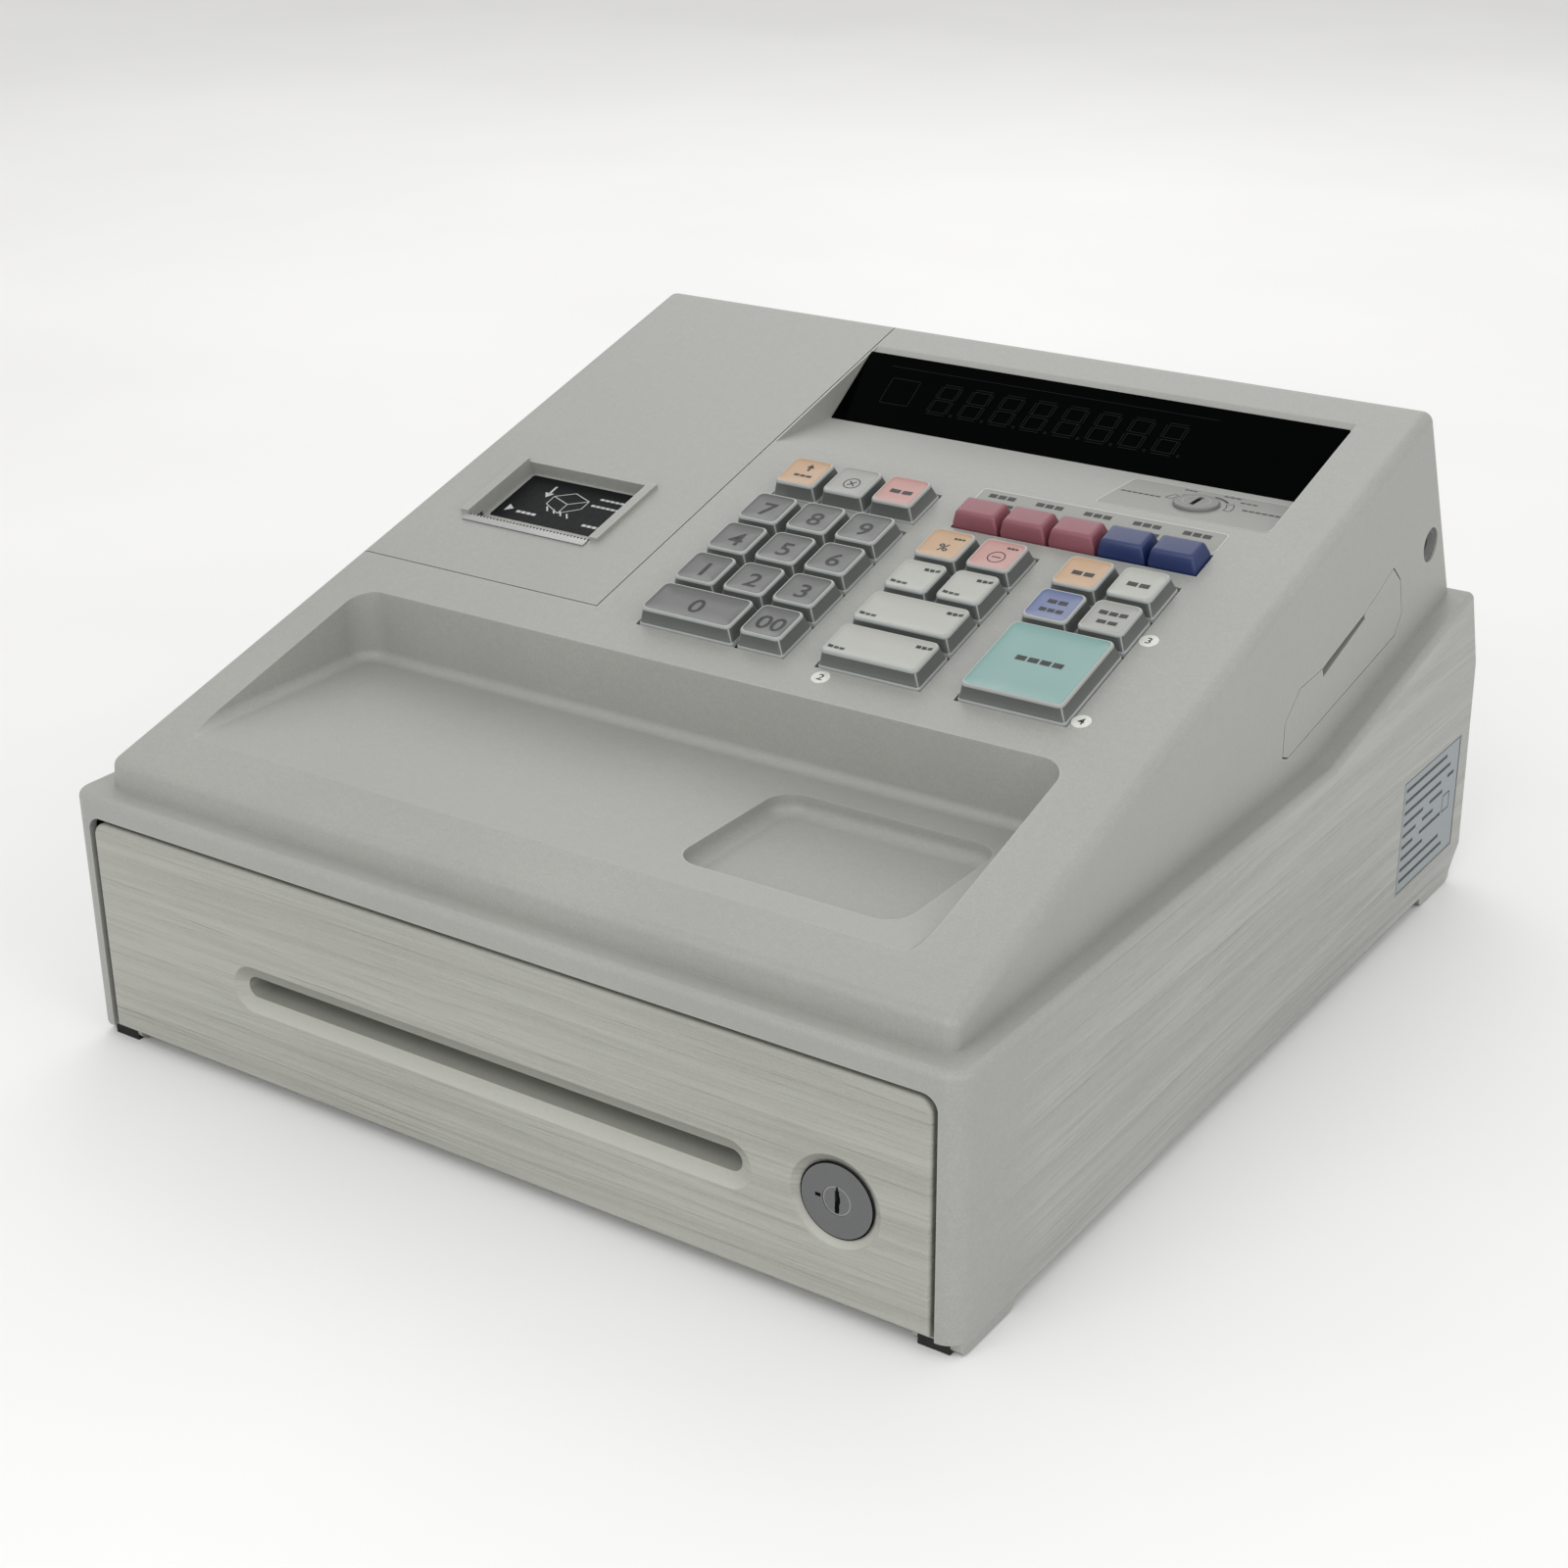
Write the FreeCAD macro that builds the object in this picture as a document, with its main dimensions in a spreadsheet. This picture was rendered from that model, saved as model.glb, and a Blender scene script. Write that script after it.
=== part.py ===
"""Counter-top cash register: a low case with a cash drawer under a sloping upper case that carries
the keyboard, the display, the receipt printer and a money tray.

Everything is laid out from the front of the drawer: +X right, +Y back, +Z up, in millimetres. The
origin is under the middle of the case, on the surface that the feet stand on. The top panel slopes;
places on it are given as a distance up the slope from its front edge and a height square to it."""
import FreeCAD, Part
import math
import os
import re
import Sketcher
from FreeCAD import Placement, Rotation, Vector

os.makedirs("parts", exist_ok=True)
doc = FreeCAD.newDocument("cash_register")

# Driving dimensions: one alias and one plain number a cell.
DIMENSIONS = {
    # overall case
    "case_width": 335.0,
    "case_depth": 364.0,
    "case_bottom": 5.0,
    "deck_height": 89.7,
    "deck_kink": 237.4,
    "deck_rise_angle": 12.5,
    "case_wall": 3.0,
    "case_corner": 7.0,
    "case_edge": 2.5,
    "case_back_drop": 23.0,
    "case_back_step": 10.0,
    "heel_chamfer": 8.0,
    # upper case and its sloping panel
    "upper_width": 317.6,
    "upper_front": 9.3,
    "lip_setback": 1.2,
    "lip_height": 9.4,
    "panel_slope": 16.1,
    "panel_length": 322.7,
    "back_lean": 23.6,
    "upper_wall": 2.8,
    "upper_edge": 4.0,
    # money tray in the front of the panel
    "tray_left": 141.0,
    "tray_right": 135.0,
    "tray_back": 114.3,
    "tray_floor": 104.3,
    "tray_corner": 9.0,
    "tray_radius": 3.5,
    "pocket_left": 44.0,
    "pocket_right": 122.0,
    "pocket_front": 41.0,
    "pocket_back": 99.0,
    "pocket_depth": 6.5,
    "pocket_corner": 9.0,
    "pocket_radius": 4.0,
    # keyboard
    "key_pitch": 19.5,
    "row_pitch": 19.05,
    "key_base": 18.3,
    "key_top": 15.6,
    "key_height": 6.0,
    "key_skirt": 1.2,
    "key_travel": 2.8,
    "stem_size": 6.0,
    "stem_length": 8.0,
    "stem_clearance": 0.4,
    "window_margin": 0.6,
    "number_column": -4.9,
    "number_row": 132.7,
    "top_row_gap": 4.6,
    "dept_column": 55.3,
    "pay_column": 106.0,
    "function_column": 81.8,
    "function_row": 213.2,
    "function_pitch": 18.0,
    "function_base_width": 16.9,
    "function_base_length": 11.6,
    "function_top_width": 12.8,
    "function_top_length": 8.4,
    "key_frame_depth": 4.4,
    "key_frame_thickness": 1.5,
    "board_depth": 13.2,
    "board_thickness": 1.6,
    "board_margin": 3.0,
    # display
    "recess_left": 52.2,
    "recess_right": 137.8,
    "ledge_front": 236.8,
    "glass_foot": 272.3,
    "glass_angle": 34.2,
    "glass_length": 33.4,
    "glass_thickness": 2.0,
    "glass_border": 4.0,
    "tube_thickness": 7.0,
    # mode switch
    "mode_x": 105.3,
    "mode_y": 252.3,
    "mode_radius": 7.8,
    "mode_depth": 15.0,
    "mode_rise": 1.4,
    "mode_housing": 11.0,
    "running_gap": 0.06,
    "axle_chamfer": 0.8,
    # receipt printer
    "cover_right": -53.6,
    "cover_front": 127.6,
    "cover_skirt": 12.0,
    "cover_gap": 0.6,
    "paper_x": -107.0,
    "paper_width": 57.0,
    "outlet_width": 54.0,
    "outlet_front": 158.4,
    "outlet_back": 195.8,
    "outlet_slot": 7.6,
    "outlet_depth": 5.0,
    "bezel_width": 3.6,
    "bezel_rise": 1.6,
    "tear_width": 3.0,
    "tear_rise": 0.6,
    "chassis_front": 165.0,
    "chassis_back": 276.0,
    "chassis_rise": 10.3,
    "chassis_height": 38.0,
    "chassis_plate": 2.0,
    "chassis_post": 8.0,
    "roll_y": 258.0,
    "roll_rise": 41.3,
    "roll_radius": 26.0,
    "spindle_radius": 6.0,
    "platen_y": 186.0,
    "platen_rise": 36.3,
    "platen_radius": 7.0,
    "axle_radius": 2.5,
    "gear_module": 1.0,
    "platen_teeth": 18.0,
    "drive_teeth": 12.0,
    "gear_width": 5.0,
    # battery hatch and supply jack, both on the right side
    "hatch_front": 213.0,
    "hatch_back": 306.0,
    "hatch_lift": 9.5,
    "hatch_gap": 0.5,
    "grip_start": 241.0,
    "grip_length": 33.5,
    "grip_width": 3.2,
    "grip_angle": 17.5,
    "grip_lift": 18.6,
    "cell_radius": 7.1,
    "cell_length": 50.5,
    "jack_y": 328.0,
    "jack_z": 138.6,
    "jack_radius": 6.1,
    "jack_bore": 2.8,
    "jack_length": 14.0,
    # drawer
    "drawer_opening": 320.0,
    "label_depth": 0.3,
    "label_front": 302.0,
    "label_back": 355.0,
    "label_bottom": 16.0,
    "label_top": 60.0,
    "opening_top": 82.2,
    "opening_corner": 5.0,
    "drawer_gap": 1.7,
    "front_bottom": 5.6,
    "front_rim": 3.5,
    "front_thickness": 12.0,
    "front_skin": 4.0,
    "slot_half": 95.5,
    "slot_bottom": 35.0,
    "slot_top": 42.3,
    "slot_flare": 4.6,
    "flare_depth": 2.2,
    "flare_radius": 1.2,
    "box_side_gap": 8.0,
    "box_front": 18.0,
    "box_back": 300.0,
    "box_bottom": 12.0,
    "box_top": 76.0,
    "box_wall": 2.0,
    "rail_gap": 0.3,
    "rail_width": 8.0,
    "rail_x": 140.0,
    "till_bottom": 44.0,
    "till_top": 74.0,
    "till_wall": 2.0,
    "till_gap": 0.8,
    "coin_length": 80.0,
    "coin_cups": 6.0,
    "note_bays": 3.0,
    "clip_arm": 50.0,
    "clip_width": 14.0,
    "clip_thickness": 2.0,
    "clip_pivot_radius": 1.8,
    "clip_angle": 27.0,
    "clip_ear": 3.0,
    "lock_x": 127.7,
    "lock_z": 38.3,
    "lock_dish": 15.0,
    "lock_disc": 11.6,
    "lock_housing": 9.0,
    "lock_plug": 4.6,
    "cam_reach": 36.0,
    "cam_width": 8.0,
    "cam_thickness": 2.0,
    "latch_pivot_y": 332.0,
    "latch_pivot_z": 14.0,
    "latch_pin": 2.0,
    "latch_width": 5.0,
    "catch_length": 14.0,
    "catch_width": 24.0,
    "catch_clearance": 4.5,
    "catch_thickness": 3.0,
    "catch_bar": 3.0,
    "catch_height": 21.0,
    # base, feet and screws
    "base_thickness": 1.5,
    "base_gap": 0.2,
    "foot_width": 10.4,
    "foot_length": 28.6,
    "foot_height": 3.5,
    "foot_rise": 0.4,
    "foot_radius": 3.0,
    "foot_x": 157.9,
    "front_foot": 3.4,
    "rear_foot": 329.0,
    "screw_radius": 1.5,
    "screw_head": 2.9,
    "screw_head_height": 1.2,
    "screw_length": 12.0,
    "front_screw": 41.0,
    "rear_screw": 318.0,
    "post_length": 10.0,
    "post_width": 8.0,
}

sheet = doc.addObject("Spreadsheet::Sheet", "Sizes")
for row, (alias, number) in enumerate(DIMENSIONS.items(), start=1):
    sheet.set("A%d" % row, alias)
    sheet.set("B%d" % row, str(number))
    sheet.setAlias("B%d" % row, alias)
doc.recompute()


def size(alias):
    return float(getattr(sheet, alias))


ALIAS = re.compile(r"\b(%s)\b" % "|".join(sorted(DIMENSIONS, key=len, reverse=True)))


def formula(text):
    """An expression on the sheet's cells, written with their bare aliases."""
    return ALIAS.sub(r"Sizes.\1", str(text))


# ---- places, as formulas ----
SIN = "sin(panel_slope * 1deg)"
COS = "cos(panel_slope * 1deg)"
LIP_Y = "(upper_front + lip_setback)"
LIP_Z = "(deck_height + lip_height)"
RISE = "tan(deck_rise_angle * 1deg)"
TOP_Y = "(%s + panel_length * %s)" % (LIP_Y, COS)
TOP_Z = "(%s + panel_length * %s)" % (LIP_Z, SIN)
LEAN = "tan(back_lean * 1deg)"
# where the leaning back wall comes down to the rising deck
BACK_Y = ("((%s + %s * %s + (deck_kink * %s - deck_height) * %s) / (1 + %s * %s))"
          % (TOP_Y, TOP_Z, LEAN, RISE, LEAN, RISE, LEAN))
BACK_Z = "(deck_height + (%s - deck_kink) * %s)" % (BACK_Y, RISE)
LEDGE_Z = "(%s + (ledge_front - %s) * tan(panel_slope * 1deg))" % (LIP_Z, LIP_Y)
INNER = "(case_width / 2 - case_wall)"
CHASSIS_FLOOR = "(deck_height + chassis_rise)"
PLATEN_Z = "(deck_height + platen_rise)"
ROLL_Z = "(deck_height + roll_rise)"
CATCH_Y = "(box_back + catch_length - catch_bar)"
SCREW_X = "(%s - post_width / 2)" % INNER
DRAWER_HALF = "(drawer_opening / 2 - drawer_gap)"
BOX_HALF = "(drawer_opening / 2 - box_side_gap)"


def new(kind, name):
    return doc.addObject(kind, name)


def place(thing, x, y, z):
    """Puts a thing at x, y, z, with y counted from the drawer's front."""
    thing.setExpression("Placement.Base.x", formula(x))
    thing.setExpression("Placement.Base.y", formula("%s - case_depth / 2" % y))
    thing.setExpression("Placement.Base.z", formula(z))
    return thing


def place_tilted(thing, x, along, up, angle="panel_slope", foot_y=LIP_Y, foot_z=LIP_Z):
    """Puts a thing on a slope that rises to the back from foot_y, foot_z."""
    sine = "sin(%s * 1deg)" % angle
    cosine = "cos(%s * 1deg)" % angle
    thing.Placement = Placement(Vector(), Rotation(Vector(1, 0, 0), size(angle)))
    thing.setExpression("Placement.Rotation.Angle", formula(angle))
    y = "(%s + (%s) * %s - (%s) * %s)" % (foot_y, along, cosine, up, sine)
    z = "(%s + (%s) * %s + (%s) * %s)" % (foot_z, along, sine, up, cosine)
    return place(thing, x, y, z)


def block(name, x, y, z):
    """A box from three (low, high) pairs of formulas."""
    thing = sized_box(name, x, y, z)
    return place(thing, x[0], y[0], z[0])


def sized_box(name, x, y, z):
    thing = new("Part::Box", name)
    thing.setExpression("Length", formula("(%s) - (%s)" % (x[1], x[0])))
    thing.setExpression("Width", formula("(%s) - (%s)" % (y[1], y[0])))
    thing.setExpression("Height", formula("(%s) - (%s)" % (z[1], z[0])))
    return thing


def tilted_block(name, x, along, up):
    """A box that lies on the panel's slope."""
    return place_tilted(sized_box(name, x, along, up), x[0], along[0], up[0])


def glass_block(name, x, along, up):
    """A box that lies on the display glass's slope."""
    thing = sized_box(name, x, along, up)
    return place_tilted(thing, x[0], along[0], up[0], "glass_angle", "glass_foot", LEDGE_Z)


TURNS = {"X": Rotation(Vector(0, 1, 0), 90), "Y": Rotation(Vector(1, 0, 0), -90), "Z": Rotation()}


def rod(name, axis, radius, length, x, y, z):
    """A cylinder that starts at x, y, z and runs the given way."""
    thing = new("Part::Cylinder", name)
    thing.setExpression("Radius", formula(radius))
    thing.setExpression("Height", formula(length))
    thing.Placement = Placement(Vector(), TURNS[axis])
    return place(thing, x, y, z)


def cone(name, axis, radius, far_radius, length, x, y, z):
    thing = new("Part::Cone", name)
    thing.setExpression("Radius1", formula(radius))
    thing.setExpression("Radius2", formula(far_radius))
    thing.setExpression("Height", formula(length))
    thing.Placement = Placement(Vector(), TURNS[axis])
    return place(thing, x, y, z)


def side_profile(name, points, half_width):
    """A body padded both ways from the middle plane: points are (y, z) formulas, half_width one."""
    body = new("PartDesign::Body", name)
    sketch = body.newObject("Sketcher::SketchObject", name + "_sketch")
    plane = [f for f in body.Origin.OriginFeatures if f.Role == "YZ_Plane"][0]
    sketch.AttachmentSupport = [(plane, "")]
    sketch.MapMode = "FlatFace"
    count = len(points)
    centre, spread = 90, 50
    start = []
    for number in range(count):
        turn = -math.tau * number / count
        start.append(Vector(centre + spread * math.cos(turn), centre + spread * math.sin(turn), 0))
    for number in range(count):
        sketch.addGeometry(Part.LineSegment(start[number], start[(number + 1) % count]), False)
    for number in range(count):
        following = (number + 1) % count
        sketch.addConstraint(Sketcher.Constraint("Coincident", number, 2, following, 1))
    for number, (y, z) in enumerate(points):
        for kind, text in (("DistanceX", y), ("DistanceY", z)):
            index = sketch.addConstraint(Sketcher.Constraint(kind, -1, 1, number, 1, 90.0))
            sketch.setExpression("Constraints[%d]" % index, formula(text))
    pad = body.newObject("PartDesign::Pad", name + "_pad")
    pad.Profile = sketch
    pad.SideType = "Symmetric"
    pad.setExpression("Length", formula("2 * (%s)" % half_width))
    body.Tip = pad
    return place(body, "0", "0", "0")


def fuse(name, *things):
    joined = new("Part::MultiFuse", name)
    joined.Shapes = list(things)
    joined.Refine = True
    return joined


def cut(name, base, *tools):
    tool = tools[0] if len(tools) == 1 else fuse(name + "_tools", *tools)
    result = new("Part::Cut", name)
    result.Base = base
    result.Tool = tool
    return result


def common(name, *things):
    result = new("Part::MultiCommon", name)
    result.Shapes = list(things)
    return result


def rounded(name, base, radius, wanted):
    """Rounds the edges that wanted(edge) picks from base."""
    doc.recompute()
    chosen = [n for n, edge in enumerate(base.Shape.Edges, start=1) if wanted(edge)]
    result = new("Part::Fillet", name)
    result.Base = base
    result.Edges = [(n, size(radius), size(radius)) for n in chosen]
    return result


def shelled(name, base, wall, open_face):
    """A shell of the given wall inside base, open where open_face(face) says."""
    doc.recompute()
    faces = ["Face%d" % n for n, face in enumerate(base.Shape.Faces, start=1) if open_face(face)]
    result = new("Part::Thickness", name)
    result.Faces = (base, faces)
    result.Join = 2
    result.setExpression("Value", formula("-" + wall))
    return result


def runs(edge, x=0, y=0, z=0):
    """Whether a straight edge runs along the given direction."""
    if edge.Curve.TypeId != "Part::GeomLine":
        return False
    way = edge.Vertexes[-1].Point - edge.Vertexes[0].Point
    return way.normalize().cross(Vector(x, y, z)).Length < 0.05


def middle(edge):
    return edge.CenterOfMass


NODES = []


def node(label, thing):
    """Marks a finished sub-part: its label is its file's name."""
    thing.Label = label
    NODES.append(thing)
    return thing


# ---- lower case, base, feet and screws ----
def mirrored(side, low, high):
    """A (low, high) pair across, on the right when side is 1 and on the left when it is -1."""
    return (low, high) if side == "1" else ("-(%s)" % high, "-(%s)" % low)


def foot_block(name, side, spot):
    """A rubber pad, let into its foot and flush with the foot's front."""
    return block(name, mirrored(side, "foot_x - foot_width / 2", "foot_x + foot_width / 2"),
                 ("%s" % spot, "%s + foot_length - 3" % spot), ("0", "foot_height"))


def lower_points(wall, floor):
    """The lower case seen from the side, shrunk by a wall, with its underside at floor."""
    back = "(case_depth - %s)" % wall
    shoulder = "(%s - case_back_step)" % back
    return [(wall, floor), ("%s - heel_chamfer" % back, floor),
            (back, "case_bottom + heel_chamfer"), ("%s - 2" % back, "%s - case_back_drop" % BACK_Z),
            (shoulder, "deck_height + (%s - deck_kink) * %s - %s" % (shoulder, RISE, wall)),
            ("deck_kink", "deck_height - %s" % wall), (wall, "deck_height - %s" % wall)]


def lower_case():
    outer = side_profile("lower_outer", lower_points("0", "case_bottom"), "case_width / 2")
    front = -size("case_depth") / 2
    upright = rounded("lower_corners", outer, "case_corner",
                      lambda e: runs(e, z=1) and abs(middle(e).y - front) < 1)
    deck = size("deck_height")
    soft = rounded("lower_edges", upright, "case_edge", lambda e: middle(e).z > deck - 1
                   and (abs(middle(e).x) > size("case_width") / 2 - size("case_corner")
                        or middle(e).y < front + 1 or middle(e).y > -front - 11.0))
    inner = side_profile("lower_inner", lower_points("case_wall", "case_bottom - 1"), INNER)
    shell = cut("lower_shell", soft, inner)
    opening = rounded("lower_opening", block("lower_opening_box",
                      ("-drawer_opening / 2", "drawer_opening / 2"), ("-1", "case_wall + 1"),
                      ("case_bottom - 1", "opening_top")), "opening_corner",
                      lambda e: runs(e, y=1) and middle(e).z > size("opening_top") - 1)
    posts = []
    pilots = []
    for side in ("-1", "1"):
        pair = mirrored(side, "%s - post_width" % INNER, "%s + 0.2" % INNER)
        for spot in ("front_screw", "rear_screw"):
            posts.append(block("lower_post", pair, ("%s - post_length / 2" % spot,
                         "%s + post_length / 2" % spot), ("case_bottom + base_thickness", "deck_height - 1")))
            pilots.append(rod("lower_pilot", "Z", "screw_radius", "screw_length",
                              "%s * %s" % (side, SCREW_X), spot, "case_bottom - 1"))
        for spot in ("front_foot", "rear_foot"):
            pod = rounded("foot_pod", block("foot_pod_box", mirrored(side, "foot_x - foot_width / 2 - 1.7",
                          "case_width / 2 - 0.6"), (spot, "%s + foot_length" % spot),
                          ("foot_rise", "case_bottom")), "foot_radius", lambda e: runs(e, x=1)
                          and middle(e).z < 1)
            posts.append(cut("foot_pod_cut", pod, foot_block("foot_seat", side, spot)))
    label = block("label_recess", ("case_width / 2 - label_depth", "case_width / 2 + 1"),
                  ("label_front", "label_back"), ("label_bottom", "label_top"))
    body = fuse("lower_body", shell, *posts)
    return node("lower_case", cut("lower_case", body, opening, label, *pilots))


def base_plate():
    plate = block("base_sheet", ("-%s + base_gap" % INNER, "%s - base_gap" % INNER),
                  ("front_thickness + drawer_gap", "case_depth - case_wall - heel_chamfer - base_gap"),
                  ("case_bottom", "case_bottom + base_thickness"))
    rails = []
    for side in ("-1", "1"):
        rails.append(block("base_rail", ("%s * rail_x - rail_width / 2" % side,
                     "%s * rail_x + rail_width / 2" % side), ("front_thickness + 2", "box_back"),
                     ("case_bottom + 0.5", "box_bottom - rail_gap")))
    holes = [rod("base_hole", "Z", "screw_radius + 0.1", "base_thickness + 2", x, spot,
                 "case_bottom - 1")
             for x, spot in screw_places()]
    bracket = []
    for side in ("-1", "1"):
        bracket.append(block("latch_bracket", ("%s * (latch_width / 2 + 1.5) - 1" % side,
                       "%s * (latch_width / 2 + 1.5) + 1" % side),
                       ("latch_pivot_y - 5", "latch_pivot_y + 5"),
                       ("case_bottom + 0.5", "latch_pivot_z + 4")))
    pivot = rod("latch_hole", "X", "latch_pin + running_gap", "20", "-10", "latch_pivot_y",
                "latch_pivot_z")
    return node("base_plate", cut("base_plate", fuse("base_whole", plate, *rails, *bracket), pivot, *holes))


def screw_places():
    return [("%s * %s" % (side, SCREW_X), spot)
            for side in ("-1", "1") for spot in ("front_screw", "rear_screw")]


def case_screws():
    pieces = []
    for x, spot in screw_places():
        head = rod("screw_head", "Z", "screw_head", "screw_head_height", x, spot,
                   "case_bottom - screw_head_height")
        shank = rod("screw_shank", "Z", "screw_radius", "screw_length - 2", x, spot,
                    "case_bottom - 0.1")
        pieces.append(fuse("screw", head, shank))
    return node("case_screws", fuse("case_screws", *pieces))


def rubber_feet():
    pads = [foot_block("foot_pad", side, spot) for side in ("-1", "1")
            for spot in ("front_foot", "rear_foot")]
    return node("rubber_feet", fuse("rubber_feet", *pads))


# ---- upper case ----
def upper_solid(name):
    points = [("upper_front", "deck_height"), (LIP_Y, LIP_Z), (TOP_Y, TOP_Z), (BACK_Y, BACK_Z),
              ("deck_kink", "deck_height")]
    outer = side_profile(name + "_outer", points, "upper_width / 2")
    half = size("upper_width") / 2
    deck = size("deck_height")

    def on_top(edge):
        ends = [v.Point for v in edge.Vertexes]
        low = max(p.z for p in ends) < deck + 0.2
        flat_bottom = all(on_deck(p) for p in ends)
        return not low and not flat_bottom
    return rounded(name, outer, "upper_edge", on_top)


def on_deck(point):
    """Whether a point lies on the deck that the upper case stands on."""
    deck = size("deck_height")
    past = point.y + size("case_depth") / 2 - size("deck_kink")
    height = deck + max(0.0, past) * math.tan(math.radians(size("deck_rise_angle")))
    return abs(point.z - height) < 0.2


def panel_windows():
    """The openings in the panel that the keys stand in."""
    edge = "(key_base / 2 + window_margin)"
    windows = [("number_column - key_pitch - %s" % edge, "number_column + key_pitch + %s" % edge,
                "number_row - %s" % edge, "number_row + 3 * row_pitch + %s" % edge),
               ("number_column - key_pitch - %s" % edge, "number_column + key_pitch + %s" % edge,
                "number_row + 4 * row_pitch + top_row_gap - %s" % edge,
                "number_row + 4 * row_pitch + top_row_gap + %s" % edge)]
    for column in ("dept_column", "pay_column"):
        windows.append(("%s - key_pitch / 2 - %s" % (column, edge),
                        "%s + key_pitch / 2 + %s" % (column, edge),
                        "number_row - %s" % edge, "number_row + 3 * row_pitch + %s" % edge))
    reach = "(2 * function_pitch + function_base_width / 2 + window_margin)"
    depth = "(function_base_length / 2 + window_margin)"
    windows.append(("function_column - %s" % reach, "function_column + %s" % reach,
                    "function_row - %s" % depth, "function_row + %s" % depth))
    return [tilted_block("key_window", (left, right), (front, back), ("-12", "8"))
            for left, right, front, back in windows]


HATCH = [("hatch_front", "hatch_lift + 1.5"), ("hatch_front + 4", "hatch_lift"),
         ("hatch_back - 5", "hatch_lift + 0.6"), ("hatch_back", "hatch_lift + 6"),
         ("hatch_back - 4", "hatch_lift + 20"), ("hatch_back - 11", "hatch_lift + 27.5"),
         ("hatch_back - 33", "hatch_lift + 23.5"), ("hatch_front + 27", "hatch_lift + 22"),
         ("hatch_front + 10", "hatch_lift + 21.5"), ("hatch_front", "hatch_lift + 13")]


def hatch_profile(name, spread, x):
    """The battery hatch's outline: each point is a y and a height above the deck."""
    points = []
    centre_y = "(hatch_front + hatch_back) / 2"
    for y, lift in HATCH:
        above = "(deck_height + abs(%s - deck_kink) / 2 * %s + (%s - deck_kink) / 2 * %s)" % (
            y, RISE, y, RISE)
        points.append(("%s + (%s - %s) * (1 + %s / 46)" % (centre_y, y, centre_y, spread),
                       "%s + %s + (%s - hatch_lift - 13) * %s / 13" % (above, lift, lift, spread)))
    body = side_profile(name, points, "upper_wall / 2 + %s" % spread)
    place(body, x, "0", "0")
    return body


# the window's box on the glass's slope: across, up the slope, square to it
GLASS = (("-recess_left + 0.3", "recess_right - 0.3"), ("0.2", "glass_length"), ("-glass_thickness", "0"))


def upper_case():
    outer = upper_solid("upper_round")
    shell = shelled("upper_shell", outer, "upper_wall", lambda f: f.Surface.TypeId ==
                    "Part::GeomPlane" and all(on_deck(v.Point) for v in f.Vertexes))
    tray_wall = "upper_wall"
    dish = block("tray_dish", ("-tray_left - %s" % tray_wall, "tray_right + %s" % tray_wall),
                 ("upper_front + 4", "tray_back + %s" % tray_wall),
                 ("tray_floor - %s" % tray_wall, "tray_floor + 40"))
    purse = block("pocket_dish", ("pocket_left - 2", "pocket_right + 2"),
                  ("pocket_front - 2", "pocket_back + 2"),
                  ("tray_floor - pocket_depth - 2", "tray_floor"))
    notch_wall = side_profile("notch_wall", notch_points("upper_wall"),
                              "(recess_left + recess_right) / 2 + upper_wall")
    place(notch_wall, "(recess_right - recess_left) / 2", "0", "0")
    solid = upper_solid("upper_round_again")
    inside = common("upper_inside", fuse("upper_dishes", dish, purse, notch_wall), solid)
    notch = side_profile("notch", notch_points("0"), "(recess_left + recess_right) / 2")
    place(notch, "(recess_right - recess_left) / 2", "0", "0")
    hollow = rounded("tray_hollow", rounded("tray_plan", block("tray_box",
                     ("-tray_left", "tray_right"), ("upper_front + 8", "tray_back"),
                     ("tray_floor", "tray_floor + 60")), "tray_corner",
                     lambda e: runs(e, z=1)), "tray_radius",
                     lambda e: abs(middle(e).z - size("tray_floor")) < 0.1
                     and middle(e).y > -size("case_depth") / 2 + size("upper_front") + 9)
    pocket = rounded("pocket_hollow", rounded("pocket_plan", block("pocket_box",
                     ("pocket_left", "pocket_right"), ("pocket_front", "pocket_back"),
                     ("tray_floor - pocket_depth", "tray_floor + 6")), "pocket_corner",
                     lambda e: runs(e, z=1)), "pocket_radius",
                     lambda e: middle(e).z < size("tray_floor") - size("pocket_depth") + 0.1)
    glass_hole = glass_block("glass_hole", ("-recess_left + glass_border",
                             "recess_right - glass_border"),
                             ("glass_border", "glass_length - glass_border"), ("-12", "1"))
    groove = glass_block("glass_groove", *GLASS)
    mode_hole = rod("mode_hole", "Z", "mode_radius + running_gap", "12", "mode_x", "mode_y",
                    LEDGE_Z + " - 6")
    cover_bay = tilted_block("cover_bay", ("-upper_width / 2 - 5", "cover_right + cover_gap"),
                             ("cover_front - cover_gap", "panel_length + 30"),
                             ("-cover_skirt - cover_gap", "10"))
    hatch_hole = hatch_profile("hatch_hole", "hatch_gap", "upper_width / 2 - upper_wall / 2")
    jack_hole = rod("jack_hole", "X", "jack_radius + running_gap", "upper_wall + 4",
                    "upper_width / 2 - upper_wall - 2", "jack_y", "jack_z")
    body = fuse("upper_body", shell, inside)
    return node("upper_case", cut("upper_case", body, notch, hollow, pocket, groove, glass_hole,
                                  mode_hole, cover_bay, hatch_hole, jack_hole, *panel_windows()))


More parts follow.
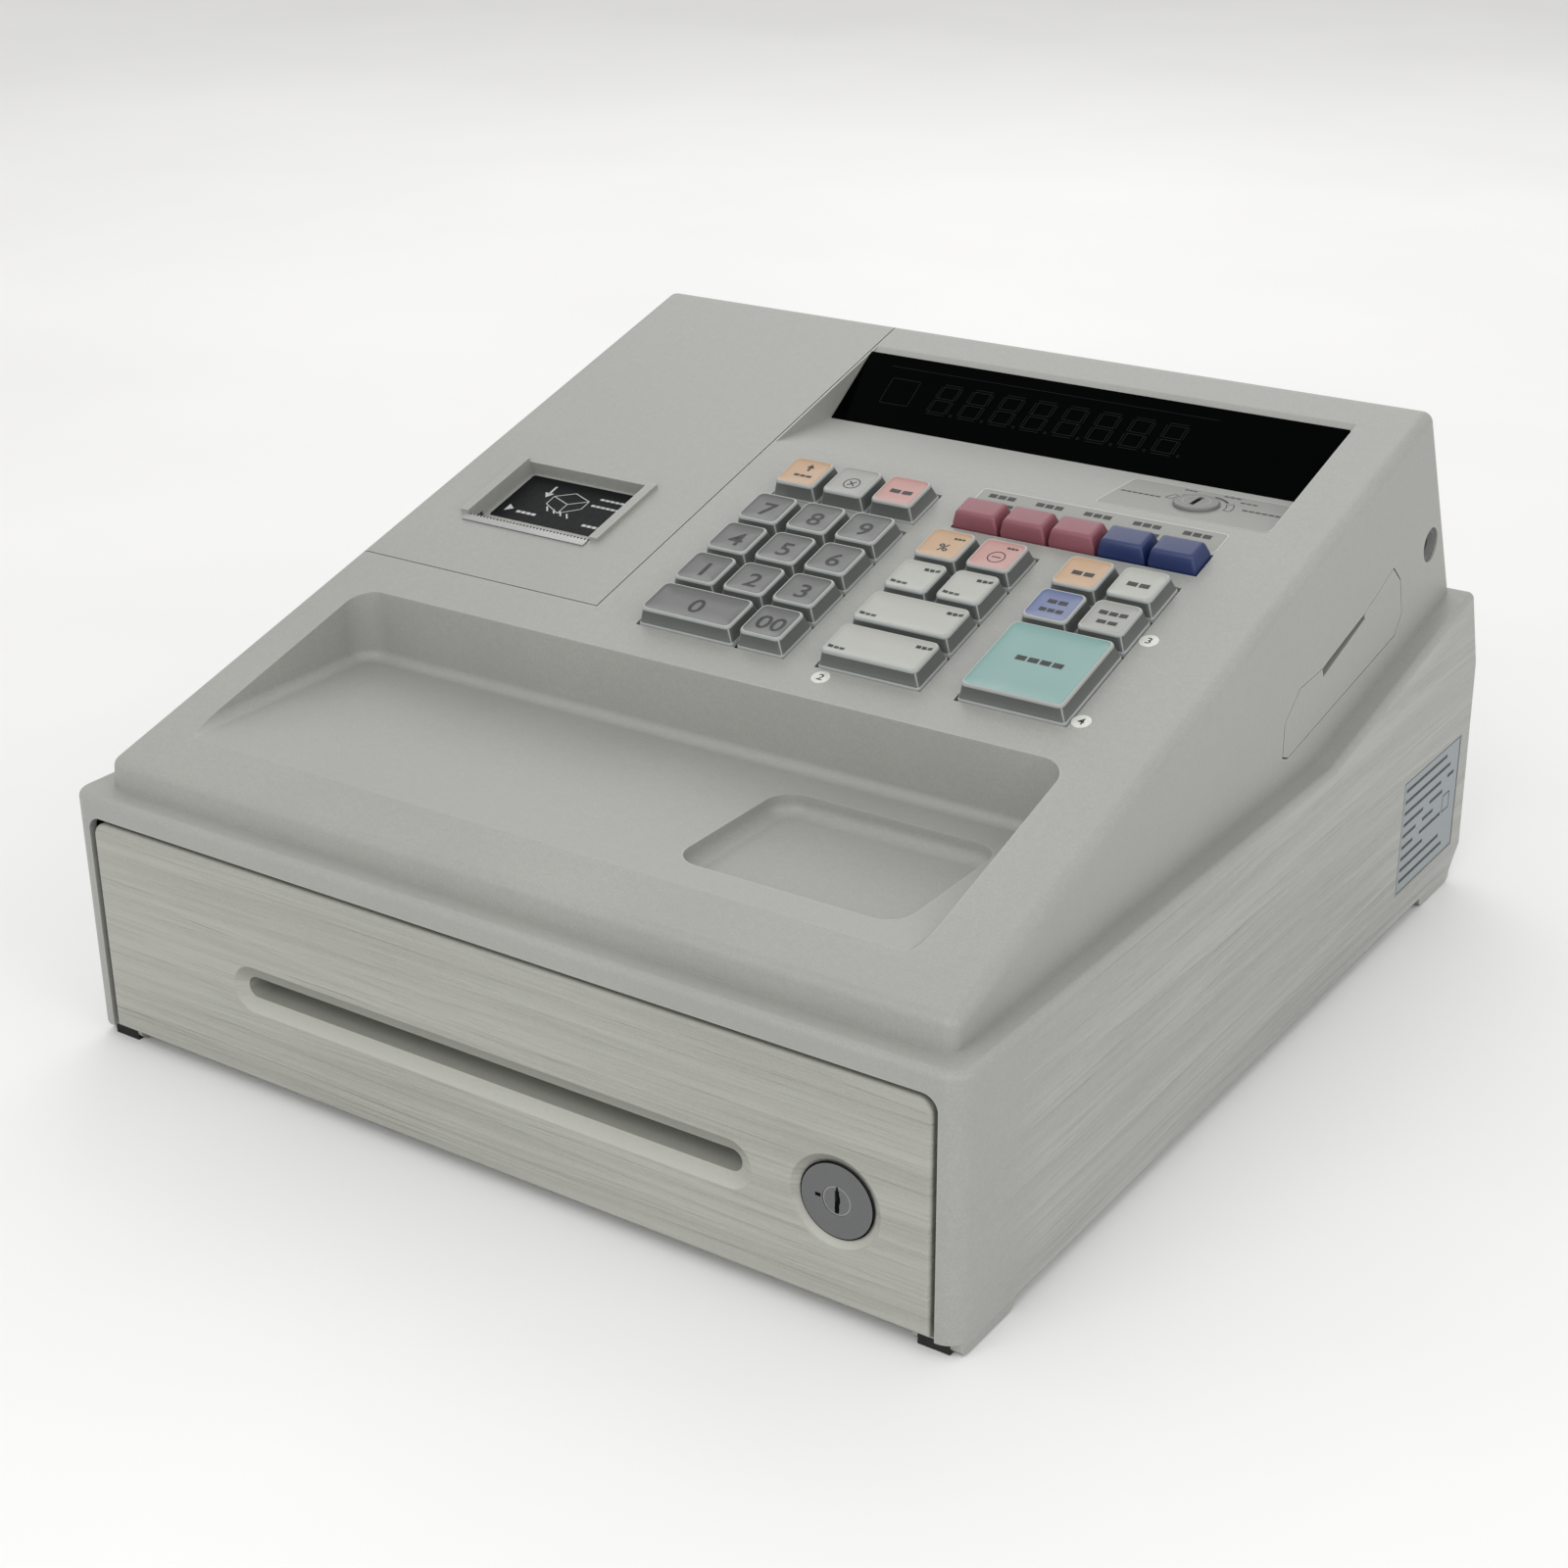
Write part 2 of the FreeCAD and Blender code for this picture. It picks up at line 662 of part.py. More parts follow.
def notch_points(wall):
    """The display recess, seen from the side, grown by a wall below and behind."""
    sine = "sin(glass_angle * 1deg)"
    tangent = "tan(glass_angle * 1deg)"
    heel = "(glass_foot + (glass_thickness + %s) / %s - %s / %s)" % (wall, sine, wall, tangent)
    top = "(%s + 60 / %s)" % (heel, tangent)
    return [("ledge_front - %s" % wall, "%s - %s" % (LEDGE_Z, wall)),
            ("ledge_front - %s" % wall, "%s - %s + 60" % (LEDGE_Z, wall)),
            (top, "%s - %s + 60" % (LEDGE_Z, wall)), (heel, "%s - %s" % (LEDGE_Z, wall))]


def battery_cover():
    plate = hatch_profile("hatch_plate", "0", "upper_width / 2 - upper_wall / 2")
    grip = sized_box("hatch_grip", ("0", "10"), ("0", "grip_length"), ("0", "grip_width"))
    grip.Placement = Placement(Vector(), Rotation(Vector(1, 0, 0), size("grip_angle")))
    grip.setExpression("Placement.Rotation.Angle", formula("grip_angle"))
    lift = "(deck_height + (grip_start - deck_kink) * %s + hatch_lift + grip_lift)" % RISE
    place(grip, "upper_width / 2 - 8", "grip_start", lift)
    return node("battery_cover", cut("battery_cover", plate, grip))


def battery_cells():
    cells = []
    for number in range(3):
        x = "upper_width / 2 - upper_wall - 3 - (2 * %d + 1) * cell_radius - %d" % (number, number)
        cells.append(rod("cell", "Y", "cell_radius", "cell_length", x, "hatch_front + 22",
                         "deck_height + (hatch_back - 20 - deck_kink) * %s + cell_radius + 2" % RISE))
    return node("battery_cells", fuse("battery_cells", *cells))


def jack_socket():
    barrel = rod("jack_barrel", "X", "jack_radius", "jack_length",
                 "upper_width / 2 - jack_length - 0.8", "jack_y", "jack_z")
    bore = rod("jack_bore", "X", "jack_bore", "jack_length - 2",
               "upper_width / 2 - jack_length + 1.2", "jack_y", "jack_z")
    mouth = cone("jack_mouth", "X", "jack_bore", "jack_bore + 1.6", "1.7",
                 "upper_width / 2 - 2.4", "jack_y", "jack_z")
    return node("jack_socket", cut("jack_socket", barrel, bore, mouth))


# ---- keyboard ----
def key_layout():
    """Every key: its name, its middle across and up the slope, and how many pitches it covers."""
    column = "number_column + %s * key_pitch"
    row = "number_row + %s * row_pitch"
    keys = []
    for name, across, up in (("7", -1, 3), ("8", 0, 3), ("9", 1, 3), ("4", -1, 2), ("5", 0, 2),
                             ("6", 1, 2), ("1", -1, 1), ("2", 0, 1), ("3", 1, 1), ("00", 1, 0)):
        keys.append(("key_" + name, column % across, row % up, "0", "0"))
    keys.append(("key_0", column % "-0.5", row % 0, "1", "0"))
    for name, across in (("feed", -1), ("multiply", 0), ("clear", 1)):
        keys.append(("key_" + name, column % across, row % 4 + " + top_row_gap", "0", "0"))
    half = {-1: "%s - key_pitch / 2", 1: "%s + key_pitch / 2", 0: "%s"}
    for name, group, across, up, wide, deep in (
            ("percent", "dept_column", -1, 3, "0", "0"), ("minus", "dept_column", 1, 3, "0", "0"),
            ("group_3", "dept_column", -1, 2, "0", "0"), ("group_4", "dept_column", 1, 2, "0", "0"),
            ("group_2", "dept_column", 0, 1, "1", "0"), ("group_1", "dept_column", 0, 0, "1", "0"),
            ("credit", "pay_column", -1, 3, "0", "0"), ("voucher", "pay_column", 1, 3, "0", "0"),
            ("shift", "pay_column", -1, 2, "0", "0"), ("subtotal", "pay_column", 1, 2, "0", "0"),
            ("total", "pay_column", 0, 0.5, "1", "1")):
        keys.append(("key_" + name, half[across] % group, row % up, wide, deep))
    return keys


def key(name, x, along, base_width, base_length, top_width, top_length):
    cap = new("Part::Wedge", name + "_cap")
    for prop, text in (("Xmin", "0"), ("Xmax", base_width), ("Ymin", "0"),
                       ("Ymax", "key_height + key_skirt"), ("Zmin", "0"), ("Zmax", base_length),
                       ("X2min", "((%s) - (%s)) / 2" % (base_width, top_width)),
                       ("X2max", "((%s) + (%s)) / 2" % (base_width, top_width)),
                       ("Z2min", "((%s) - (%s)) / 2" % (base_length, top_length)),
                       ("Z2max", "((%s) + (%s)) / 2" % (base_length, top_length))):
        cap.setExpression(prop, formula(text))
    # a wedge narrows along its own Y: standing it up turns Y to the slope's normal
    sine = "sin(panel_slope * 1deg)"
    cosine = "cos(panel_slope * 1deg)"
    cap.Placement = Placement(Vector(), Rotation(Vector(1, 0, 0), 90 + size("panel_slope")))
    cap.setExpression("Placement.Rotation.Angle", formula("90 + panel_slope"))
    back = "((%s) + (%s) / 2)" % (along, base_length)
    place(cap, "(%s) - (%s) / 2" % (x, base_width),
          "(%s + %s * %s + key_skirt * %s)" % (LIP_Y, back, cosine, sine),
          "(%s + %s * %s - key_skirt * %s)" % (LIP_Z, back, sine, cosine))
    stem = tilted_block(name + "_stem", ("(%s) - stem_size / 2" % x, "(%s) + stem_size / 2" % x),
                        ("(%s) - stem_size / 2" % along, "(%s) + stem_size / 2" % along),
                        ("-stem_length", "0"))
    return node(name, fuse(name, cap, stem))


FUNCTION_KEYS = ["key_function_%d" % number for number in range(1, 6)]


def function_place(number):
    return "function_column + %d * function_pitch" % (number - 2)


def all_keys():
    for name, x, along, wide, deep in key_layout():
        key(name, x, along, "key_base + %s * key_pitch" % wide, "key_base + %s * row_pitch" % deep,
            "key_top + %s * key_pitch" % wide, "key_top + %s * row_pitch" % deep)
    for number, name in enumerate(FUNCTION_KEYS):
        key(name, function_place(number), "function_row", "function_base_width",
            "function_base_length", "function_top_width", "function_top_length")


BOARD_X = ("number_column - 1.5 * key_pitch - board_margin", "pay_column + key_pitch + board_margin")
BOARD_ALONG = ("number_row - key_base / 2 - board_margin",
               "number_row + 4 * row_pitch + top_row_gap + key_base / 2 + board_margin")


def key_frame():
    plate = tilted_block("frame_plate", BOARD_X, BOARD_ALONG,
                         ("-key_frame_depth - key_frame_thickness", "-key_frame_depth"))
    half = "(stem_size / 2 + stem_clearance)"
    places = [(x, along) for name, x, along, wide, deep in key_layout()]
    places += [(function_place(number), "function_row") for number in range(5)]
    holes = [tilted_block("stem_hole", ("(%s) - %s" % (x, half), "(%s) + %s" % (x, half)),
                          ("(%s) - %s" % (along, half), "(%s) + %s" % (along, half)),
                          ("-key_frame_depth - key_frame_thickness - 1", "-key_frame_depth + 1"))
             for x, along in places]
    return node("key_frame", cut("key_frame", plate, *holes))


def main_board():
    node("main_board", tilted_block("main_board", BOARD_X, BOARD_ALONG,
                                    ("-board_depth - board_thickness", "-board_depth")))


# ---- display and mode switch ----
def display():
    node("display_window", glass_block("display_window", *GLASS))
    under = "(glass_thickness + upper_wall + 0.4)"
    node("display_tube", glass_block("display_tube", ("-recess_left + 6", "recess_right - 6"),
         ("4", "glass_length - 5"), ("-%s - tube_thickness" % under, "-" + under)))


def mode_switch():
    under = "(%s - upper_wall)" % LEDGE_Z
    housing = block("mode_block", ("mode_x - mode_housing", "mode_x + mode_housing"),
                    ("mode_y - mode_housing", "mode_y + mode_housing"),
                    ("%s - mode_depth" % under, under))
    bore = rod("mode_bore", "Z", "mode_radius + running_gap", "mode_depth + 2", "mode_x",
               "mode_y", "%s - mode_depth + 2" % under)
    node("mode_switch_body", cut("mode_switch_body", housing, bore))
    barrel = rod("mode_barrel", "Z", "mode_radius",
                 "mode_rise + upper_wall + mode_depth - 2.2", "mode_x", "mode_y",
                 "%s - mode_depth + 2.2" % under)
    slot = block("mode_slot", ("mode_x - 0.9", "mode_x + 0.9"), ("mode_y - 4.5", "mode_y + 4.5"),
                 ("%s - 6" % LEDGE_Z, "%s + mode_rise + 1" % LEDGE_Z))
    eased = rounded("mode_eased", barrel, "axle_chamfer", lambda e: abs(middle(e).z - (
        barrel.Placement.Base.z + barrel.Height.Value)) < 0.01)
    node("mode_lock_barrel", cut("mode_lock_barrel", eased, slot))


# ---- receipt printer ----
def printer_cover():
    shell = shelled("cover_shell", upper_solid("cover_round"), "upper_wall", lambda f:
                    f.Surface.TypeId == "Part::GeomPlane" and all(on_deck(v.Point) for v in f.Vertexes))
    region = tilted_block("cover_region", ("-upper_width / 2 - 5", "cover_right"),
                          ("cover_front", "panel_length + 30"), ("-cover_skirt", "10"))
    half = "outlet_width / 2"
    outlet = tilted_block("outlet", ("paper_x - %s" % half, "paper_x + %s" % half),
                          ("outlet_front - tear_width", "outlet_back"), ("-12", "10"))
    floor = tilted_block("outlet_floor", ("paper_x - %s - 2" % half, "paper_x + %s + 2" % half),
                         ("outlet_front + outlet_slot", "outlet_back + 2"),
                         ("-outlet_depth - 2", "-outlet_depth"))
    walls = [tilted_block("outlet_wall", ("paper_x - %s - 2" % half, "paper_x - %s" % half),
                          ("outlet_front + outlet_slot", "outlet_back + 2"), ("-outlet_depth", "-1")),
             tilted_block("outlet_wall", ("paper_x + %s" % half, "paper_x + %s + 2" % half),
                          ("outlet_front + outlet_slot", "outlet_back + 2"), ("-outlet_depth", "-1")),
             tilted_block("outlet_wall", ("paper_x - %s" % half, "paper_x + %s" % half),
                          ("outlet_back", "outlet_back + 2"), ("-outlet_depth", "-1"))]
    bars = []
    for left, right in (("paper_x - %s - bezel_width" % half, "paper_x - %s" % half),
                        ("paper_x + %s" % half, "paper_x + %s + bezel_width" % half)):
        bars.append(tilted_block("outlet_bar", (left, right), ("outlet_front + 1", "outlet_back"),
                                 ("-1", "bezel_rise")))
    plate = cut("cover_plate", common("cover_skin", shell, region), outlet)
    return node("printer_cover", fuse("printer_cover", plate, floor, *walls, *bars))


def tear_bar():
    half = "outlet_width / 2"
    return node("tear_bar", tilted_block("tear_bar", ("paper_x - %s" % half, "paper_x + %s" % half),
                ("outlet_front - tear_width", "outlet_front"), ("-upper_wall", "tear_rise")))


CHASSIS_IN = "(paper_width / 2 + 1)"


def printer_chassis():
    floor = block("chassis_base", ("paper_x - %s - chassis_plate" % CHASSIS_IN,
                  "paper_x + %s + chassis_plate" % CHASSIS_IN), ("chassis_front", "chassis_back"),
                  (CHASSIS_FLOOR, CHASSIS_FLOOR + " + chassis_plate"))
    pieces = [floor]
    for low, high in (("paper_x - %s - chassis_plate" % CHASSIS_IN, "paper_x - %s" % CHASSIS_IN),
                      ("paper_x + %s" % CHASSIS_IN, "paper_x + %s + chassis_plate" % CHASSIS_IN)):
        pieces.append(block("chassis_side", (low, high), ("chassis_front", "chassis_back"),
                            (CHASSIS_FLOOR, CHASSIS_FLOOR + " + chassis_height")))
        pieces.append(block("chassis_post", (low, "%s + chassis_post" % low), ("chassis_front",
                      "chassis_front + chassis_post"), ("deck_height", CHASSIS_FLOOR + " + 1")))
    head = block("chassis_head", ("paper_x - %s" % CHASSIS_IN, "paper_x + %s" % CHASSIS_IN),
                 ("chassis_front", "chassis_front + 6"),
                 (CHASSIS_FLOOR, PLATEN_Z + " - platen_radius - 1"))
    spindle = rod("chassis_spindle", "X", "spindle_radius", "paper_width + 2",
                  "paper_x - %s" % CHASSIS_IN, "roll_y", ROLL_Z)
    axle_holes = rod("axle_hole", "X", "axle_radius + running_gap", "paper_width + 12",
                     "paper_x - %s - 4" % CHASSIS_IN, "platen_y", PLATEN_Z)
    drive_hole = rod("drive_hole", "X", "axle_radius + running_gap", "12",
                     "paper_x + %s - 4" % CHASSIS_IN, "platen_y + %s" % GEAR_CENTRES, PLATEN_Z)
    return node("printer_chassis", cut("printer_chassis", fuse("chassis_whole", *pieces, head, spindle),
                                       axle_holes, drive_hole))


GEAR_CENTRES = "gear_module * (platen_teeth + drive_teeth) / 2"


def gear(name, teeth, phase, x, y, z):
    """A spur gear about the X axis, its teeth thinned for backlash."""
    module = size("gear_module")
    count = int(size(teeth))
    pitch_radius = module * count / 2
    root = pitch_radius - 1.15 * module
    tip = pitch_radius + 0.8 * module
    outline = []
    for tooth in range(count):
        centre = math.tau * (tooth + phase) / count
        for radius, share in ((root, -0.34), (tip, -0.13), (tip, 0.13), (root, 0.34)):
            angle = centre + share * math.tau / count
            outline.append(Vector(0, radius * math.cos(angle), radius * math.sin(angle)))
    face = Part.Face(Part.makePolygon(outline + outline[:1]))
    blank = new("Part::Feature", name)
    blank.Shape = face.extrude(Vector(size("gear_width"), 0, 0))
    return place(blank, x, y, z)


def paper_path():
    gear_x = "paper_x + %s + chassis_plate + 0.6" % CHASSIS_IN
    rubber = rod("platen_rubber", "X", "platen_radius", "paper_width", "paper_x - paper_width / 2",
                 "platen_y", PLATEN_Z)
    axle = rod("platen_axle", "X", "axle_radius", "paper_width + 2 * chassis_plate + 8",
               "paper_x - %s - chassis_plate - 1" % CHASSIS_IN, "platen_y", PLATEN_Z)
    wheel = gear("platen_wheel", "platen_teeth", 0, gear_x, "platen_y", PLATEN_Z)
    node("platen_roller", fuse("platen_roller", rubber, axle, wheel))
    drive = gear("drive_wheel", "drive_teeth", 0.5, gear_x, "platen_y + %s" % GEAR_CENTRES, PLATEN_Z)
    shaft = rod("drive_shaft", "X", "axle_radius", "gear_width + chassis_plate + 2.5",
                "paper_x + %s - 1.5" % CHASSIS_IN, "platen_y + %s" % GEAR_CENTRES, PLATEN_Z)
    node("printer_drive_gear", fuse("printer_drive_gear", drive, shaft))
    roll = rod("roll_paper", "X", "roll_radius", "paper_width", "paper_x - paper_width / 2",
               "roll_y", ROLL_Z)
    core = rod("roll_core", "X", "spindle_radius + running_gap", "paper_width + 2",
               "paper_x - paper_width / 2 - 1", "roll_y", ROLL_Z)
    node("paper_roll", cut("paper_roll", roll, core))


# ---- cash drawer ----
def pill(name, y, length, radius, far_radius):
    """A pocket across the drawer's face with round ends, running back from y and narrowing."""
    middle_z = "((slot_bottom + slot_top) / 2)"
    end = "(slot_half - (slot_top - slot_bottom) / 2)"
    trough = new("Part::Wedge", name + "_trough")
    for prop, text in (("Xmin", "-" + end), ("Xmax", end), ("X2min", "-" + end), ("X2max", end),
                       ("Ymin", "0"), ("Ymax", length), ("Zmin", "-(%s)" % radius), ("Zmax", radius),
                       ("Z2min", "-(%s)" % far_radius), ("Z2max", far_radius)):
        trough.setExpression(prop, formula(text))
    ends = [cone(name + "_end", "Y", radius, far_radius, length, side + end, y, middle_z)
            for side in ("-", "")]
    return fuse(name, place(trough, "0", y, middle_z), *ends)


def drawer_front():
    """The drawer's moulded front: a skin with a rim, hollow behind, slotted for papers."""
    plate = rounded("front_round", block("front_box", ("-" + DRAWER_HALF, DRAWER_HALF),
                    ("0", "front_thickness"), ("front_bottom", "opening_top - drawer_gap")),
                    "opening_corner", lambda e: runs(e, y=1) and middle(e).z > 60)
    eased = rounded("front_eased", plate, "flare_radius", lambda e: abs(
        middle(e).y + size("case_depth") / 2) < 0.01)
    half_slot = "((slot_top - slot_bottom) / 2)"
    slot = pill("front_slot", "flare_depth - 0.1", "front_thickness", half_slot, half_slot + " - 0.1")
    mouth = pill("slot_flare", "0", "flare_depth", half_slot + " + slot_flare", half_slot)
    hollows = [block("front_hollow", ("-%s + front_rim" % DRAWER_HALF, DRAWER_HALF + " - front_rim"),
                     ("front_skin", "front_thickness + 1"), low_high)
               for low_high in (("lock_z + lock_dish + 3", "opening_top - front_rim - drawer_gap"),
                                ("front_bottom + front_rim", "lock_z - lock_dish - 3"))]
    dish = cone("lock_dish", "Y", "lock_dish", "lock_disc + 0.2", "flare_depth", "lock_x", "0", "lock_z")
    seat = rod("lock_seat", "Y", "lock_disc + 0.2", "1.4", "lock_x", "flare_depth - 0.1", "lock_z")
    hole = rod("lock_hole", "Y", "lock_housing + 0.1", "front_thickness + 2", "lock_x", "0", "lock_z")
    return node("drawer_front", cut("drawer_front", eased, slot, mouth, dish, seat, hole, *hollows))


def drawer_lock():
    disc = rod("lock_face", "Y", "lock_disc", "2.4", "lock_x", "flare_depth - 1.2", "lock_z")
    sleeve = rod("lock_sleeve", "Y", "lock_housing", "front_thickness - flare_depth", "lock_x",
                 "flare_depth", "lock_z")
    bore = rod("lock_bore", "Y", "lock_plug + running_gap", "front_thickness + 4", "lock_x", "-1", "lock_z")
    node("drawer_lock_housing", cut("drawer_lock_housing", fuse("lock_whole", disc, sleeve), bore))
    plug = rod("lock_plug", "Y", "lock_plug", "front_thickness + cam_thickness", "lock_x",
               "flare_depth - 1.0", "lock_z")
    keyhole = block("lock_keyhole", ("lock_x - 0.7", "lock_x + 0.7"), ("-1", "flare_depth + 5"),
                    ("lock_z - 3.2", "lock_z + 3.2"))
    cam = block("lock_cam", ("lock_x - cam_width / 2", "lock_x + cam_width / 2"),
                ("front_thickness + 0.6", "front_thickness + 0.6 + cam_thickness"),
                ("lock_z - cam_width / 2", "lock_z + cam_reach"))
    node("drawer_lock_plug", cut("drawer_lock_plug", fuse("plug_whole", plug, cam), keyhole))


def drawer_box():
    outer = block("box_outer", ("-" + BOX_HALF, BOX_HALF), ("box_front", "box_back"),
                  ("box_bottom", "box_top"))
    inner = block("box_inner", ("-%s + box_wall" % BOX_HALF, "%s - box_wall" % BOX_HALF),
                  ("box_front + box_wall", "box_back - box_wall"), ("box_bottom + box_wall", "box_top + 1"))
    slot = block("box_slot", ("-slot_half - 1", "slot_half + 1"), ("box_front - 1", "box_front + box_wall + 1"),
                 ("slot_bottom - 1", "slot_top + 1"))
    links = [block("box_link", ("%s * 60 - 12" % side, "%s * 60 + 12" % side),
                   ("front_thickness", "box_front + 0.5"), ("box_bottom", "box_bottom + 12"))
             for side in ("-1", "1")]
    ledges = [block("till_ledge", low_high, ("box_front + box_wall - 0.5", "box_back - box_wall + 0.5"),
                    ("till_bottom - 2", "till_bottom"))
              for low_high in (("-%s + box_wall - 0.5" % BOX_HALF, "-%s + box_wall + 4" % BOX_HALF),
                               ("%s - box_wall - 4" % BOX_HALF, "%s - box_wall + 0.5" % BOX_HALF))]
    arm = block("catch_arm", ("latch_width / 2 + catch_clearance", "catch_width / 2"),
                ("box_back - 0.5", CATCH_Y), ("catch_height", "catch_height + catch_thickness"))
    return node("drawer_box", fuse("drawer_box", cut("box_hollow", outer, inner, slot), *links,
                                   *ledges, arm))


def drawer_catch():
    """The steel bar across the end of the drawer's arm that the latch rises in front of."""
    return node("drawer_catch", block("drawer_catch", ("-catch_width / 2", "catch_width / 2"),
                (CATCH_Y, "box_back + catch_length"), ("catch_height", "catch_height + catch_thickness")))


TILL_HALF = "(%s - box_wall - till_gap)" % BOX_HALF
TILL_FRONT = "(box_front + box_wall + till_gap)"
TILL_BACK = "(box_back - box_wall - till_gap)"
NOTE_FRONT = "(%s + 2 * till_wall + coin_length)" % TILL_FRONT
CLIP_Y = "(%s - till_wall - 8)" % TILL_BACK
CLIP_Z = "(till_top - 1)"


def bay(name, number, count, front, back):
    """One of a row of equal compartments across the till."""
    width = "((2 * %s - till_wall) / %s)" % (TILL_HALF, count)
    low = "-%s + till_wall + %s * %s" % (TILL_HALF, number, width)
    high = "-%s + (%s + 1) * %s" % (TILL_HALF, number, width)
    return block(name, (low, high), (front, back), ("till_bottom + till_wall", "till_top + 1"))


def note_bay_centre(number):
    width = "((2 * %s - till_wall) / note_bays)" % TILL_HALF
    return "(-%s + till_wall / 2 + (%s + 0.5) * %s)" % (TILL_HALF, number, width)


def till_insert():
    outer = block("till_outer", ("-" + TILL_HALF, TILL_HALF), (TILL_FRONT, TILL_BACK),
                  ("till_bottom", "till_top"))
    bays = [bay("coin_cup", number, "coin_cups", "%s + till_wall" % TILL_FRONT,
                "%s + till_wall + coin_length" % TILL_FRONT) for number in range(int(size("coin_cups")))]
    bays += [bay("note_bay", number, "note_bays", NOTE_FRONT, "%s - till_wall" % TILL_BACK)
             for number in range(int(size("note_bays")))]
    ears = []
    holes = []
    for number in range(int(size("note_bays"))):
        centre = note_bay_centre(number)
        for side in ("-1", "1"):
            near = "%s + %s * (clip_width / 2 + 1)" % (centre, side)
            far = "%s + %s * (clip_width / 2 + 1 + clip_ear)" % (centre, side)
            pair = (near, far) if side == "1" else (far, near)
            ears.append(block("clip_ear", pair, ("%s - 4" % CLIP_Y, "%s - till_wall + 0.5" % TILL_BACK),
                              ("%s - 5" % CLIP_Z, "%s + 4" % CLIP_Z)))
        holes.append(rod("clip_hole", "X", "clip_pivot_radius + running_gap",
                         "clip_width + 2 * clip_ear + 6", "%s - clip_width / 2 - clip_ear - 3" % centre,
                         CLIP_Y, CLIP_Z))
    body = fuse("till_whole", cut("till_hollow", outer, *bays), *ears)
    return node("till_insert", cut("till_insert", body, *holes))


def note_clips():
    for number in range(int(size("note_bays"))):
        centre = note_bay_centre(number)
        arm = sized_box("clip_arm", ("0", "clip_width"), ("0", "clip_arm"), ("0", "clip_thickness"))
        sine = "sin(clip_angle * 1deg)"
        cosine = "cos(clip_angle * 1deg)"
        arm.Placement = Placement(Vector(), Rotation(Vector(1, 0, 0), size("clip_angle")))
        arm.setExpression("Placement.Rotation.Angle", formula("clip_angle"))
        place(arm, "%s - clip_width / 2" % centre,
              "(%s - clip_arm * %s + clip_thickness / 2 * %s)" % (CLIP_Y, cosine, sine),
              "(%s - clip_arm * %s - clip_thickness / 2 * %s)" % (CLIP_Z, sine, cosine))
        pivot = rod("clip_pivot", "X", "clip_pivot_radius", "clip_width + 2 + 2 * clip_ear",
                    "%s - clip_width / 2 - 1 - clip_ear" % centre, CLIP_Y, CLIP_Z)
        hub = rod("clip_hub", "X", "clip_pivot_radius + 1.2", "clip_width",
                  "%s - clip_width / 2" % centre, CLIP_Y, CLIP_Z)
        node("note_clip_%d" % (number + 1), fuse("note_clip_%d" % (number + 1), arm, pivot, hub))


def drawer_latch():
    arm = block("latch_arm", ("-latch_width / 2", "latch_width / 2"),
                ("box_back + 4", "latch_pivot_y"), ("latch_pivot_z - 2", "latch_pivot_z + 2"))
    hook = block("latch_hook", ("-latch_width / 2", "latch_width / 2"),
                 ("box_back + 4", "box_back + 7"), ("latch_pivot_z - 2", "catch_height - 1.2"))
    hub = rod("latch_hub", "X", "latch_pin + 2", "latch_width", "-latch_width / 2", "latch_pivot_y",
              "latch_pivot_z")
    pin = rod("latch_pin", "X", "latch_pin", "latch_width + 5", "-latch_width / 2 - 2.5",
              "latch_pivot_y", "latch_pivot_z")
    return node("drawer_latch", fuse("drawer_latch", arm, hook, hub, pin))


lower_case()
base_plate()
case_screws()
rubber_feet()
upper_case()
battery_cover()
battery_cells()
jack_socket()
all_keys()
key_frame()
main_board()
display()
mode_switch()
printer_cover()
tear_bar()
printer_chassis()
paper_path()
drawer_front()
drawer_lock()
drawer_box()
till_insert()
note_clips()
drawer_catch()
drawer_latch()
doc.recompute()

for thing in doc.Objects:
    if "Invalid" in thing.State or "Error" in thing.State:
        raise RuntimeError("%s failed: %s" % (thing.Label, thing.State))
for thing in NODES:
    if thing.Shape.isNull() or not thing.Shape.isValid():
        raise RuntimeError("%s has no valid shape" % thing.Label)
    print("%-22s %2d solid(s) %10.1f mm3" % (thing.Label, len(thing.Shape.Solids), thing.Shape.Volume))
for thing in NODES:
    thing.Shape.exportStep("parts/%s.step" % thing.Label)
print(len(NODES), "sub-parts")
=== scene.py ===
"""Counter-top cash register: its finishes, keys, display, printed marks and studio.

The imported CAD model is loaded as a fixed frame, and every piece here is laid on it in the same
frame: +X right, +Y back, +Z up. Places on the sloping panel are given in millimetres across (u),
up the slope (v) and square to it (w)."""
import math

import bpy
import numpy as np
from mathutils import Matrix, Vector


